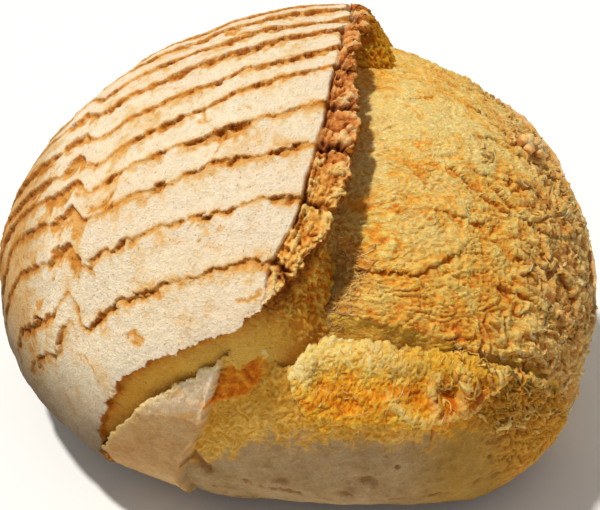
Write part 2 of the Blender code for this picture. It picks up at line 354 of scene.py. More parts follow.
def bread_material(name, rough, wave, curl, specks, bump, tall=0.0006, cell=480.0, coarse=260.0, fine=1300.0,
                   drawn=1.0):
    """Point colours from the mesh, with a grain of its own. curl draws the light threads and darker
    gaps of torn crumb, specks the dark flecks on flour."""
    m = bpy.data.materials.new(name)
    m.use_nodes = True
    t = m.node_tree
    link = t.links.new
    shader = t.nodes["Principled BSDF"]
    tint = node(t, "ShaderNodeAttribute", attribute_name="tint")
    where = node(t, "ShaderNodeTexCoord").outputs["Object"]
    if drawn > 1:  # crumb pulled out to one side
        pulled = node(t, "ShaderNodeMapping", vector_type="TEXTURE")
        pulled.inputs["Rotation"].default_value = (0, 0, math.radians(-18))
        pulled.inputs["Scale"].default_value = (drawn, 1, 1)
        link(where, pulled.inputs["Vector"])
        where = pulled.outputs[0]
    big = node(t, "ShaderNodeTexNoise", in_Scale=coarse, in_Detail=4.0, in_Roughness=0.6)
    small = node(t, "ShaderNodeTexNoise", in_Scale=fine, in_Detail=3.0, in_Roughness=0.65)
    link(where, big.inputs["Vector"])
    link(where, small.inputs["Vector"])
    both = node(t, "ShaderNodeMath", operation="ADD")
    link(big.outputs["Fac"], both.inputs[0])
    link(small.outputs["Fac"], both.inputs[1])
    scaled = node(t, "ShaderNodeVectorMath", operation="SCALE")
    link(tint.outputs["Color"], scaled.inputs[0])
    link(remap(t, both.outputs[0], 0.7, 1.3, 1 - wave, 1 + wave * 0.8), scaled.inputs["Scale"])
    colour, height = scaled.outputs[0], both.outputs[0]
    if curl:
        threads = []
        for scale, swirl, width in ((cell, 1.6, 0.075), (cell * 1.9, 1.2, 0.08)):
            v = node(t, "ShaderNodeTexNoise", in_Scale=scale, in_Detail=0.0, in_Distortion=swirl)
            link(where, v.inputs["Vector"])
            off = node(t, "ShaderNodeMath", operation="SUBTRACT")
            off.inputs[1].default_value = 0.5
            link(v.outputs["Fac"], off.inputs[0])
            size = node(t, "ShaderNodeMath", operation="ABSOLUTE")
            link(off.outputs[0], size.inputs[0])
            threads.append(remap(t, size.outputs[0], 0.0, width, 1.0, 0.0))
        web = node(t, "ShaderNodeMath", operation="MULTIPLY_ADD")
        web.inputs[1].default_value = 0.6
        link(threads[1], web.inputs[0])
        link(threads[0], web.inputs[2])
        light = node(t, "ShaderNodeVectorMath", operation="MULTIPLY")
        light.inputs[1].default_value = (1 + 0.08 * curl, 1 + 0.20 * curl, 1 + 0.55 * curl)
        link(colour, light.inputs[0])
        deep = node(t, "ShaderNodeVectorMath", operation="MULTIPLY")
        deep.inputs[1].default_value = (1 - 0.08 * curl, 1 - 0.26 * curl, 1 - 0.58 * curl)
        link(colour, deep.inputs[0])
        blend = node(t, "ShaderNodeMix", data_type="RGBA")
        link(remap(t, web.outputs[0], 0.0, 1.2, 0.0, 1.0), blend.inputs["Factor"])
        link(deep.outputs[0], blend.inputs["A"])
        link(light.outputs[0], blend.inputs["B"])
        colour = blend.outputs["Result"]
        rise = node(t, "ShaderNodeMath", operation="MULTIPLY_ADD")
        rise.inputs[1].default_value = 0.8 * curl
        link(web.outputs[0], rise.inputs[0])
        link(height, rise.inputs[2])
        height = rise.outputs[0]
    if specks:
        dots = node(t, "ShaderNodeTexNoise", in_Scale=fine * 0.7, in_Detail=1.0, in_Roughness=0.4)
        shift = node(t, "ShaderNodeVectorMath", operation="ADD")
        shift.inputs[1].default_value = (0.31, 0.17, 0.04)
        link(where, shift.inputs[0])
        link(shift.outputs[0], dots.inputs["Vector"])
        over = node(t, "ShaderNodeMix", data_type="RGBA")
        link(remap(t, dots.outputs["Fac"], 0.66, 0.76, 0.0, specks), over.inputs["Factor"])
        link(colour, over.inputs["A"])
        over.inputs["B"].default_value = (0.20, 0.09, 0.03, 1)
        colour = over.outputs["Result"]
    link(colour, shader.inputs["Base Color"])
    relief = node(t, "ShaderNodeBump", in_Strength=bump, in_Distance=tall)
    link(height, relief.inputs["Height"])
    link(relief.outputs[0], shader.inputs["Normal"])
    shader.inputs["Roughness"].default_value = rough
    shader.inputs["Specular IOR Level"].default_value = 0.25
    return m


def let_light_in(m, share):
    """Crumb glows a little where light goes through it."""
    shader = m.node_tree.nodes["Principled BSDF"]
    shader.inputs["Subsurface Weight"].default_value = share
    shader.inputs["Subsurface Radius"].default_value = (1.0, 0.55, 0.18)
    shader.inputs["Subsurface Scale"].default_value = 0.004


CRUST_MAT = bread_material("floured_crust_skin", 0.92, 0.13, 0.0, 0.4, 0.8, tall=0.0012, coarse=420.0)
BAND_MAT = CRUST_MAT
BLOOM_MAT = bread_material("golden_crumb", 0.58, 0.16, 0.9, 0.0, 0.8, drawn=2.2, cell=560.0)
FRONT_MAT = bread_material("pale_front", 0.80, 0.13, 0.40, 0.2, 0.7, tall=0.0009)
FLAKE_MAT = bread_material("torn_flakes", 0.6, 0.16, 0.0, 0.0, 0.4)

let_light_in(BLOOM_MAT, 0.35)
let_light_in(FRONT_MAT, 0.32)
for m in (BLOOM_MAT, FLAKE_MAT):
    m.node_tree.nodes["Principled BSDF"].inputs["Specular IOR Level"].default_value = 0.42
let_light_in(FLAKE_MAT, 0.35)

MADE = []


def add_mesh(name, co, faces, tint, mat, uv=None, normals=None):
    """A mesh in the row frame from points in mm, faces, and point colours."""
    me = bpy.data.meshes.new(name)
    me.vertices.add(len(co))
    me.vertices.foreach_set("co", ((co + SHIFT) * MM).astype(np.float32).ravel())
    me.loops.add(faces.size)
    me.loops.foreach_set("vertex_index", faces.astype(np.int32).ravel())
    me.polygons.add(len(faces))
    me.polygons.foreach_set("loop_start", (np.arange(len(faces)) * faces.shape[1]).astype(np.int32))
    me.update(calc_edges=True)
    me.shade_smooth()
    at = me.attributes.new("tint", "FLOAT_COLOR", "POINT")
    at.data.foreach_set("color", np.c_[np.clip(tint, 0, 1), np.ones(len(tint))].astype(np.float32).ravel())
    if uv is not None:
        layer = me.uv_layers.new(name="OFBake")
        layer.data.foreach_set("uv", uv[faces.ravel()].astype(np.float32).ravel())
    if normals is not None:
        me.normals_split_custom_set_from_vertices(normals.tolist())
    me.materials.append(mat)
    o = bpy.data.objects.new(name, me)
    bpy.context.scene.collection.objects.link(o)
    MADE.append(o)
    return o


def add_sheet(name, sheet, p, ok, tint, mat, limit=98000):
    """Turns a worked-out sheet into pieces of at most `limit` quads, split along grid lines."""
    q = p.copy()
    q[..., 2] = np.where((q[..., 2] < 0) & (q[..., 2] > -3.0), 0.0, q[..., 2])
    ok = ok & (q[..., 2] >= 0)
    keep = ok[:-1, :-1] & ok[1:, :-1] & ok[:-1, 1:] & ok[1:, 1:]
    flat = (q[:-1, :-1, 2] <= 0) & (q[1:, :-1, 2] <= 0) & (q[:-1, 1:, 2] <= 0) & (q[1:, 1:, 2] <= 0)
    keep &= ~flat
    normals = grid_normals(q)
    n, m = ok.shape
    U, V = np.meshgrid(sheet.us, sheet.vs, indexing="ij")
    per_row = keep.sum(1)
    pieces = int(math.ceil(per_row.sum() / limit))
    bounds = np.searchsorted(np.cumsum(per_row), np.linspace(0, per_row.sum(), pieces + 1)[1:-1])
    bounds = [0, *bounds.tolist(), n - 1]
    for k, (a, b) in enumerate(zip(bounds, bounds[1:])):
        i, j = np.nonzero(keep[a:b])
        i = i + a
        quads = np.stack([i * m + j, (i + 1) * m + j, (i + 1) * m + j + 1, i * m + j + 1], -1)
        used, faces = np.unique(quads, return_inverse=True)
        faces = faces.reshape(-1, 4)
        uv = np.stack([U.ravel()[used], V.ravel()[used]], -1)
        lo = uv.min(0)
        uv = (uv - lo) / (uv.max(0) - lo).max() * 0.98 + 0.01
        add_mesh(f"{name}_{k + 1}" if pieces > 1 else name, q.reshape(-1, 3)[used], faces,
                 tint.reshape(-1, 3)[used], mat, uv, normals.reshape(-1, 3)[used])


# ---------------------------------------------------------------- shared fields
rim, ear, front_rim, bloom_edge = Line(RIM), Line(EAR), Line(FRONT_RIM), Line(BLOOM_EDGE)
fringe, flap_edge, flap_step, gully, far_crust = (Line(FRINGE), Line(FLAP_EDGE), Line(FLAP_STEP), Line(GULLY),
                                                  Line(FAR_CRUST))
T_TIP = rim.place(on_dome(TIP))


def score_distances(p, n, wander):
    """Signed distance across each score (positive towards the front) for points with skin normals n."""
    x, y = p[..., 0], p[..., 1]
    u = np.clip((-x - HOOK_FROM) / (HOOK_TO - HOOK_FROM), 0, 1)
    beyond = np.maximum(-x - FLANK_FROM, 0)
    bent = HOOK * u * u * (3 - 2 * u) + FLANK_RUN * beyond + wander
    lean = -HOOK * 6 * u * (1 - u) / (HOOK_TO - HOOK_FROM) - FLANK_RUN * (beyond > 0)
    out = []
    for a, b in SCORES:
        m = b + lean
        g = 1 + m * m - (n[..., 1] - m * n[..., 0]) ** 2
        out.append((a + b * x + bent - y) / np.sqrt(np.maximum(g, 0.15)))
    return out


def line_noise(t, freq, seed):
    """Noise along a line."""
    t = np.asarray(t)
    q = np.stack([t * freq, np.full(t.shape, seed * 3.3 + 0.5), np.full(t.shape, seed * 1.7 + 0.2)], -1)
    return noise(q)


FLOUR = [(0, (247, 231, 201)), (0.12, (243, 220, 182)), (0.25, (236, 194, 132)), (0.42, (224, 156, 68)),
         (0.58, (196, 116, 34)), (0.75, (150, 80, 20)), (0.9, (92, 46, 14)), (1.0, (56, 28, 8))]
CRUMB = [(0.0, (255, 228, 150)), (0.22, (254, 202, 92)), (0.42, (248, 170, 44)), (0.62, (232, 136, 18)),
         (0.82, (190, 98, 10)), (1.1, (120, 58, 4))]


# ---------------------------------------------------------------- floured crust and ear
def crust():
    us = grade([(-140, 1.3), (-122, 0.7), (-100, 0.49), (30, 0.52), (78, 0.60), (100, 0.9)])
    vs = grade([(-160, 1.5), (-120, 0.9), (-105, 0.52), (62, 0.52), (85, 1.3), (186, 2.0)])
    S = Sheet((-0.62, 0.10, 0.78), (-0.19, 1, 0), us, vs)  # its lines run with the scores
    s, t = S.measure(rim)
    de = S.away(ear)
    inside = s >= 0
    w = np.maximum(-s, 0)
    foot, out_dir, inn = rim.at(t, "p"), rim.at(t, "out"), rim.at(t, "right")
    base = np.where(inside[..., None], S.p, foot)
    rad = np.where(inside[..., None], S.d, out_dir)
    x, z = base[..., 0], base[..., 2]
    back = smooth(z, 20, 90)
    is_ear = 1 - smooth(t, T_TIP - 42, T_TIP + 4)  # shape of the wall: overhanging, or sloping out
    has_band = 1 - smooth(t, T_TIP - 8, T_TIP + 8)

    h = (CRUST_LIFT * bell(de, LIFT_REACH) + RIM_LIFT * bell(de, 9.0)) * back
    h += 2.5 * bell(s, 13.0) * (1 - has_band) * smooth(z, 10, 40)
    h += 1.2 * S.slow(1 / 38, 2, 1) + 0.6 * S.slow(1 / 15, 2, 2)
    shape = h.copy()

    # grain shared by what follows
    rough1, rough2 = noise(base, 1 / 1.3, 6), noise(base, 1 / 2.6, 7)
    a1, a2, jag1 = cells(base, 1 / 4.8, 3)
    b1, b2, jag2 = cells(base, 1 / 2.1, 4)

    # the scores, each a torn gap under the raised edge of the plate behind it
    slit_in = np.interp(T_TIP - t, [k[0] for k in SLIT_IN], [k[1] for k in SLIT_IN])
    band_all = (1 - smooth(s, slit_in - 0.8, slit_in + 0.4)) * has_band
    band_w = inside * band_all
    wander = (1.0 * S.slow(1 / 17, 2, 3) + 0.6 * noise(base, 1 / 4.0, 4) + 0.35 * noise(base, 1 / 1.9, 5) + 0.75 * jag1
              + 0.18 * jag2)
    bend = 0.5 * np.clip(slit_in - s, 0, 14) * has_band
    live = smooth(z, 34, 60)
    flank = smooth(-x, 88, 104)
    side_on = smooth(-x, 70, 84)  # where the plates turn down the side and the gaps open to the light
    tk = score_distances(base, S.n, wander - bend)
    flour_gap = (1 - band_w)
    push = np.zeros(s.shape)
    cut = np.zeros(s.shape)
    hurt = np.zeros(s.shape)  # torn, where no flour lies
    deep = np.zeros(s.shape)
    stain = np.zeros(s.shape)
    notch = np.zeros(s.shape)
    for k, d in enumerate(tk):
        on = live * (smooth(-x, 84, 90) if k == 11 else 1.0)
        along = np.stack([x / 11, np.full(x.shape, k * 7.7), np.full(x.shape, 0.3)], -1)
        lens = smooth(noise(along), 0.0, 0.7)
        gape = 0.75 + 1.7 * lens + 1.8 * flank * smooth(noise(along * 0.6 + 5.0), -0.3, 0.5)
        gape = gape + 3.4 * smooth(k, 3, 6) * smooth(x, -85, -30) * (k != 11) * (0.7 + 0.5 * noise(along * 1.7 + 9.0))
        for kk, gx, half, wide in GAPES:
            if kk == k:
                gape = np.maximum(gape, wide * np.clip(1.15 - ((x - gx) / half) ** 2, 0, 1) ** 0.6)
        gape = np.maximum(gape * (1 + 0.25 * jag2 + 0.35 * rough2), 0.15) * on
        depth = np.minimum(0.45 + 0.42 * gape, mix(2.0, 1.5, side_on)) * on
        behind = d < 0
        in_gap = smooth(d, -0.6, 0.4) * (1 - smooth(d - gape, -0.4, 0.3)) * (gape > 0.05)
        share = np.clip(d / np.maximum(gape, 0.05), 0, 1)
        drop = smooth(d, -0.4, 1.0 + 0.2 * side_on)
        cut += flour_gap * on * (0.35 + 0.18 * np.minimum(gape, 3)) * np.exp(-np.abs(d) / 3.0) * (1 - drop)
        push += flour_gap * on * (1 - 0.5 * side_on) * (0.15 + 0.15 * np.minimum(gape, 3)) * np.exp(np.minimum(d, 0) / 1.1) * behind
        cut -= flour_gap * drop * np.where(d < gape, depth * (1 - share ** 1.3) * (1 + 0.45 * rough2 + 0.3 * rough1) + 0.1, 0)
        wide = smooth(gape, 0.5, 2.0)
        hurt = np.maximum(hurt, in_gap * (0.36 + 0.04 * wide + 0.18 * rough2 + 0.12 * rough1 + 0.10 * jag2 - 0.10 * share - 0.06 * side_on))
        rim_d = np.maximum(d, 0)
        deep = np.maximum(deep, in_gap * np.exp(-rim_d / (0.7 + 0.4 * side_on)) * smooth(gape + 1.2 * jag1, 0.6, 2.4) * (1 - 0.1 * side_on))
        after = np.where(d > gape, d - gape, 0)
        stain = np.maximum(stain, on * np.where(d > 0, np.exp(-after / (0.8 + 2.6 * (1 - 0.7 * side_on) * smooth(rough2 + 1.5 * jag1, -0.3, 1.6))),
                                                (1 - 0.6 * side_on) * np.exp(d / 0.9)))
        notch = np.maximum(notch, bell(d - 0.4, 1.25 + 0.35 * jag2) * on)
    h += cut
    h -= 2.8 * bell(de, 34) * smooth(base[..., 1], 22, 48)
    # a few short cracks that stray over the plates
    vein = noise(base + 1.5 * np.stack([jag1, jag2, jag1], -1), 1 / 21, 15)
    stray = bell(vein, 0.035) * smooth(noise(base, 1 / 8, 16), 0.25, 0.6) * live * flour_gap * inside * smooth(x, -92, -78)
    h -= 0.5 * stray
    h -= 4.2 * notch * band_w

    # the slit, with one thin leaf standing beside it
    ds = s - slit_in + 0.5 * line_noise(t, 1 / 22, 1) + 0.22 * line_noise(t, 1 / 4, 2)
    slit_on = has_band * smooth(T_TIP - t, 3, 12) * inside
    slit = bell(ds, SLIT_W * (0.9 + 0.6 * line_noise(t, 1 / 9, 3))) * slit_on * mix(0.45, 1.0, smooth(line_noise(t, 1 / 15, 8), -0.4, 0.3))
    leaf = bell(ds + 1.9, 0.4) * slit_on * smooth(line_noise(t, 1 / 16, 5), -0.2, 0.3)
    h -= SLIT_D * slit + 1.6 * leaf

    # the broken band between the slit and the rim: lumps towards the back, drawn-out leaves at the tip
    tipward = smooth(T_TIP - t, 62, 34)
    lump = smooth(a2 - a1, 0, 0.35)
    leaves = 1 - 2 * np.abs(noise(np.stack([ds / 1.7 + 0.5 * rough2, t / 9.0, z * 0 + 2.5], -1)))
    torn1, torn1_at = petals(base, 4.6, 121)
    torn2, _ = petals(base, 2.4, 126)
    broken = mix(1.3, 0.5, tipward) * lump + 0.8 * jag1 + 0.3 * jag2 + 0.9 * (torn1 - 0.5) + 0.5 * (torn2 - 0.5) + 0.4 * rough1
    h += band_w * (-1.3 + broken + mix(0.3, 1.3, tipward) * leaves)
    pits = smooth(0.42 - b1, 0, 0.14) * smooth(noise(base, 1 / 6, 9), -0.1, 0.35)
    h -= 1.2 * band_w * pits

    # flour lies in a crackled skin
    crackle = bell(b2 - b1, 0.09) * smooth(noise(base, 1 / 12, 17), -0.2, 0.4) * inside * flour_gap
    h -= 0.14 * crackle

    fades = 1 - 0.9 * smooth(w, 1.0, 8.0)  # what the skin does is lost on the way down the wall
    h = shape + (h - shape) * fades

    # rim, drawn in and out, and the wall below it
    ragged = 1.5 * line_noise(t, 1 / 9, 11) + 0.9 * line_noise(t, 1 / 3.1, 12) + 0.5 * line_noise(t, 1 / 1.1, 13)
    ragged = ragged * mix(0.75, 1.0, has_band) + 0.8 * jag1 + 0.5 * jag2 - 3.2 * notch * has_band
    side = np.stack([np.zeros(s.shape), -np.ones(s.shape), np.zeros(s.shape)], -1)
    side = unit(side - (side * S.n).sum(-1, keepdims=True) * S.n)
    p = (base + rad * h[..., None] - inn * (ragged * fades * np.exp(-np.maximum(s, 0) / 3.5))[..., None]
         + side * (push * inside)[..., None])
    turn = smooth(w, 0, 2.2)
    leans = smooth(foot[..., 1], 30, 44)  # towards the back the wall stands outwards again
    ear_in = (EAR_HANG * smooth(w, 1.0, 15.0) * (1 - leans) - 0.80 * w * leans
              - 0.7 * np.sin(np.pi * np.clip(w / 3.5, 0, 1)))
    ear_down = -np.minimum(w, EAR_WALL + 12) * (0.86 + 0.08 * turn)
    cut_out = np.maximum(w - 3.0, 0)
    front_in = -0.93 * cut_out
    front_down = -3.2 * smooth(w, 0, 3.4) - 0.40 * cut_out - cut_out ** 2 / 210
    p = p + inn * mix(front_in, ear_in, is_ear)[..., None] + rad * mix(front_down, ear_down, is_ear)[..., None]

    # small relief along the true normals: flour on the plates, torn crumb on the wall
    n = grid_normals(p)
    fine, mid = noise(p, 1 / 0.9, 21), noise(p, 1 / 2.4, 22)
    wall = smooth(w, 0.3, 2.0)
    shadow_wall = wall * np.maximum(is_ear, smooth(t, T_TIP + 14, T_TIP - 6))
    torn_w = np.clip(1.4 * hurt + band_w + wall * mix(0.2, 1.0, shadow_wall), 0, 1)
    web, _, _ = curls(p, 3.2, 24)
    fibre = 2 * web - 0.7
    p = p + n * ((0.13 + 0.16 * torn_w) * fine + (0.14 + 0.25 * torn_w) * mid + 0.8 * shadow_wall * fibre)[..., None]

    # colour
    blotch = S.slow(1 / 26, 3, 31)
    patch = smooth(fbm(base, 1 / 13, 3, 34) + 0.30 * jag1, 0.25, 1.0)
    toast = 0.06 + 0.05 * blotch + 0.12 * patch + 0.03 * rough1 + 0.04 * rough2
    toast += 0.22 * smooth(-x + 6 * jag1, 96, 110) * smooth(z, 40, 70)
    toast += 0.30 * stain * (1 - 0.5 * smooth(toast, 0.2, 0.4)) + 0.08 * crackle * (0.5 + rough2) + 0.35 * stray
    toast += 0.10 * smooth(26 - z, 0, 26)
    # deep makes a dark line along the top of each gap, under the raised edge of the plate behind: painted shade there,
    # partly darker toasted crust.
    toast = np.maximum(toast, hurt + 0.36 * deep)
    speck, _, _ = cells(base, 1 / 3.1, 19)
    toast += 0.45 * smooth(0.10 - speck, 0, 0.05) * inside * flour_gap
    # The slit is painted near black: painted shade down the narrow groove.
    toast = np.maximum(toast, 0.90 * np.clip(slit * 1.15, 0, 1))
    tint = ramp(toast, FLOUR)
    pinkish = S.slow(1 / 34, 2, 33)
    tint = mix(tint, tint * 0.4 + linear((232, 206, 184)) * 0.6,
               smooth(pinkish, 0.0, 0.6) * (1 - smooth(toast, 0.15, 0.3)) * 0.3)
    # The lower left flank, most on the side towards the front, is painted greyer and darker: painted shade, partly a
    # greyer, less floured skin. It is also made a little darker towards the table, and darker at the far left edge,
    # which is painted shade.
    flank_shade_side = 0.35 + 0.65 * smooth(-base[..., 1], -40, 5)
    flank_shade_grey = smooth(58 - z, 0, 40) * smooth(-x, 40, 90) * flank_shade_side
    tint = mix(tint, linear((190, 160, 124)) * (1 - 0.15 * patch[..., None]), 0.85 * flank_shade_grey * (1 - smooth(toast, 0.3, 0.5)))
    tint = tint * ((1 - 0.64 * smooth(80 - z, 0, 40) * smooth(-x, 30, 80) * flank_shade_side) * (1 - 0.08 * smooth(40 - z, 0, 30)) * (1 - 0.20 * smooth(-x, 94, 110)))[..., None] ** np.array([1, 1.1, 1.25])
    # The broken band's colour follows its relief: paler on lumps and leaves, darker between lumps, in pits and at the
    # notches. This is painted highlight and painted shade over the band's own rusty and golden tones.
    chip_tone_and_shade = (0.52 + 0.22 * jag1 + 0.20 * (torn1 - 0.5) + 0.16 * (torn2 - 0.5) + 0.14 * rough1 + 0.16 * rough2
            - 0.22 * (1 - lump) * (1 - tipward) + 0.16 * leaves * tipward + 0.08 * tipward - 0.55 * pits
            - 0.60 * smooth(notch, 0.25, 0.75) + 0.22 * bell(s, 0.9))
    chips = ramp(chip_tone_and_shade, [(0.0, (104, 46, 10)), (0.22, (168, 88, 30)), (0.45, (224, 136, 62)), (0.65, (244, 178, 100)),
                        (0.9, (252, 216, 156))])
    drawn = ramp(chip_tone_and_shade, [(0.0, (130, 68, 12)), (0.25, (206, 124, 34)), (0.5, (242, 172, 74)), (0.75, (252, 210, 122))])
    tint = mix(tint, mix(chips, drawn, tipward), band_all * (1 - smooth(slit, 0.3, 0.8)))
    # wall: rusty under the rim, crumb below dulled towards a greenish brown, which is painted shade; beside the front
    # cut a smooth golden slope
    rust = smooth(w, 0.4, 2.0) * (1 - smooth(w, 3, 12))
    crumb = ramp(0.36 + 0.22 * mid - 0.30 * fibre, CRUMB) * linear((232, 220, 190))
    slope = ramp(smooth(w, 1, 7) + 0.16 * mid + 0.25 * blotch + 0.10 * fibre,
                 [(0, (196, 120, 30)), (0.4, (218, 162, 66)), (0.8, (224, 180, 92)), (1.2, (218, 182, 108))])
    wall_tint = mix(slope, crumb, shadow_wall)
    wall_tint = mix(wall_tint, ramp(0.5 + 0.4 * mid, [(0, (150, 84, 24)), (1, (196, 128, 48))]), rust * mix(0.4, 0.6, shadow_wall))
    # Near the rim the overhung wall is painted darker and browner still: painted shade under the ear.
    wall_tint = wall_tint * scale((1.08, 0.94, 0.5), (0.60, 0.34, 0.06), (1 - smooth(w, 4, 12)) * shadow_wall * (1 - leans))
    wall_tint = wall_tint * scale((1, 1, 1), (0.84, 0.72, 0.14), leans * is_ear)
    tint = mix(tint, wall_tint, smooth(w, 0.2, 1.2))
    add_sheet("crust", S, p, (s > -mix(30.0, EAR_WALL + 8, is_ear)), tint, CRUST_MAT)


# ---------------------------------------------------------------- loose threads and flakes
def bilinear(a, i, j):
    i0 = np.clip(np.floor(i).astype(int), 0, a.shape[0] - 2)
    j0 = np.clip(np.floor(j).astype(int), 0, a.shape[1] - 2)
    fi, fj = i - i0, j - j0
    if a.ndim == 3:
        fi, fj = fi[..., None], fj[..., None]
    return (a[i0, j0] * (1 - fi) * (1 - fj) + a[i0 + 1, j0] * fi * (1 - fj)
            + a[i0, j0 + 1] * (1 - fi) * fj + a[i0 + 1, j0 + 1] * fi * fj)


def ribbons(name, paths, sides, ups, width, thick, tint, mat, taper=0.15):
    """Closed flat bands along many paths. paths is (count, steps, 3); width and thick are (count, steps)."""
    count, steps = paths.shape[:2]
    end = np.sin(np.pi * np.linspace(0.0, 1.0, steps)) ** 0.5
    end = taper + (1 - taper) * end
    wide, tall = width * end * 0.5, thick * end * 0.5
    ring = np.stack([paths + sides * wide[..., None], paths + ups * tall[..., None],
                     paths - sides * wide[..., None], paths - ups * tall[..., None]], 2)
    co = ring.reshape(-1, 3)
    at = (np.arange(count)[:, None, None] * steps + np.arange(steps)[None, :, None]) * 4 + np.arange(4)
    nxt = np.roll(at, -1, axis=2)
    walls = np.stack([at[:, :-1], nxt[:, :-1], nxt[:, 1:], at[:, 1:]], -1).reshape(-1, 4)
    caps = np.concatenate([at[:, 0, ::-1], at[:, -1]], 0).reshape(-1, 4)
    faces = np.concatenate([walls, caps])
    cols = np.repeat(tint.reshape(count, steps, 3), 4, axis=1).reshape(-1, 3)
    n = int(math.ceil(math.sqrt(count)))
    cell = np.arange(count)
    u = (cell % n)[:, None, None] + 0.1 + 0.8 * np.linspace(0, 1, steps)[None, :, None] + np.zeros((1, 1, 4))
    v = (cell // n)[:, None, None] + 0.1 + 0.8 * (np.arange(4) / 3)[None, None, :] + np.zeros((1, steps, 1))
    uv = np.stack([u, v], -1).reshape(-1, 2) / n
    add_mesh(name, co, faces, cols, mat, uv)


def shreds(name, sheet, p, weight, count, steps, step, width, thick, lift, tones, seed, turn=0.5, twist=0.5,
           run=None, mat=None):
    """Threads or flakes that wander over a worked-out sheet, their ends sunk in it."""
    rng = np.random.RandomState(seed)
    n = grid_normals(p)
    share = np.cumsum(weight.ravel())
    pick = np.searchsorted(share, rng.rand(count) * share[-1])
    i, j = np.unravel_index(np.clip(pick, 0, weight.size - 1), weight.shape)
    u, v = sheet.us[i] + rng.rand(count) * 0.5, sheet.vs[j] + rng.rand(count) * 0.5
    heading = (rng.rand(count) * 2 * np.pi if run is None else run + rng.normal(size=count) * 0.55)
    bend = rng.normal(size=count) * turn
    size = rng.uniform(0.6, 1.4, count)
    pts, nrm = [], []
    for k in range(steps):
        fi, fj = np.interp(u, sheet.us, np.arange(len(sheet.us))), np.interp(v, sheet.vs, np.arange(len(sheet.vs)))
        pts.append(bilinear(p, fi, fj))
        nrm.append(bilinear(n, fi, fj))
        bend = 0.8 * bend + rng.normal(size=count) * turn * 0.45
        heading = heading + bend
        u, v = u + np.cos(heading) * step * size, v + np.sin(heading) * step * size
    path, up = np.stack(pts, 1), unit(np.stack(nrm, 1))
    along = unit(np.gradient(path, axis=1))
    side = unit(np.cross(up, along))
    arch = np.sin(np.pi * np.linspace(0, 1, steps)) ** 0.8
    high = rng.uniform(0.2, 1.0, count)[:, None] * arch[None] * lift - 0.12
    path = path + up * high[..., None]
    angle = (rng.normal(size=count)[:, None] * twist + rng.normal(size=count)[:, None] * twist * np.linspace(-1, 1, steps)[None])
    c, s_ = np.cos(angle)[..., None], np.sin(angle)[..., None]
    side, up2 = side * c + up * s_, up * c - side * s_
    pick = rng.rand(count)[:, None] + rng.normal(size=(count, steps)) * 0.08
    tint = ramp(np.clip(pick, 0, 1), [(q / (len(tones) - 1), tone) for q, tone in enumerate(tones)])
    w = rng.uniform(width[0], width[1], count)[:, None] * np.ones((1, steps))
    h = rng.uniform(thick[0], thick[1], count)[:, None] * np.ones((1, steps))
    keep = (path[..., 2] > 0.6).all(1)
    ribbons(name, path[keep], side[keep], up2[keep], w[keep], h[keep], tint[keep], mat or FLAKE_MAT)


# ---------------------------------------------------------------- burst crumb beside the ear
def petals(p, size, seed, swirl=0.8, folds=1.5):
    """Torn flakes that overlap: 0 to 1, climbing over each flake to a sharp edge. Also says how far
    through the torn depth each place lies, -1 to 1."""
    warp = np.stack([noise(p, 0.5 / size, seed + k) for k in range(3)], -1)
    q = p + warp * size * swirl
    a = 1.5 * noise(q, 0.5 / size, seed + 3) + 0.4 * noise(q, 1.25 / size, seed + 4)
    b = a * folds
    b = b - np.floor(b)
    return np.minimum(b / 0.78, (1 - b) / 0.22), a


def curls(p, size, seed):
    """Swirled threads of crumb: 1 on the threads, 0 in the gaps, with the places it was read at, and a
    slower height that goes with them."""
    swirl = np.stack([noise(p, 0.6 / size, seed), noise(p, 0.6 / size, seed + 1), noise(p, 0.6 / size, seed + 2)], -1)
    q = p + swirl * size * 0.9
    a, b = noise(q, 0.8 / size, seed + 3), noise(q, 1.1 / size, seed + 4)
    return np.maximum(bell(a, 0.17), 0.85 * bell(b, 0.17)), q, a


# cracks across the burst crumb, the deeper ones towards the right
TEARS = [[(62, -24, 117), (69, -30, 111), (78, -33, 104), (88, -29, 95), (95, -22, 88), (97, -29, 82)],
         [(48, -23, 123), (56, -30, 118), (64, -33, 114), (70, -34, 110)],
         [(12, -67, 113), (26, -67, 112), (32, -67, 111), (40, -62, 112), (47, -57, 112)],
         [(71, -49, 103), (82, -46, 95), (90, -43, 87), (94, -46, 78)],
         [(62, -62, 101), (74, -61, 93), (86, -59, 80)]]


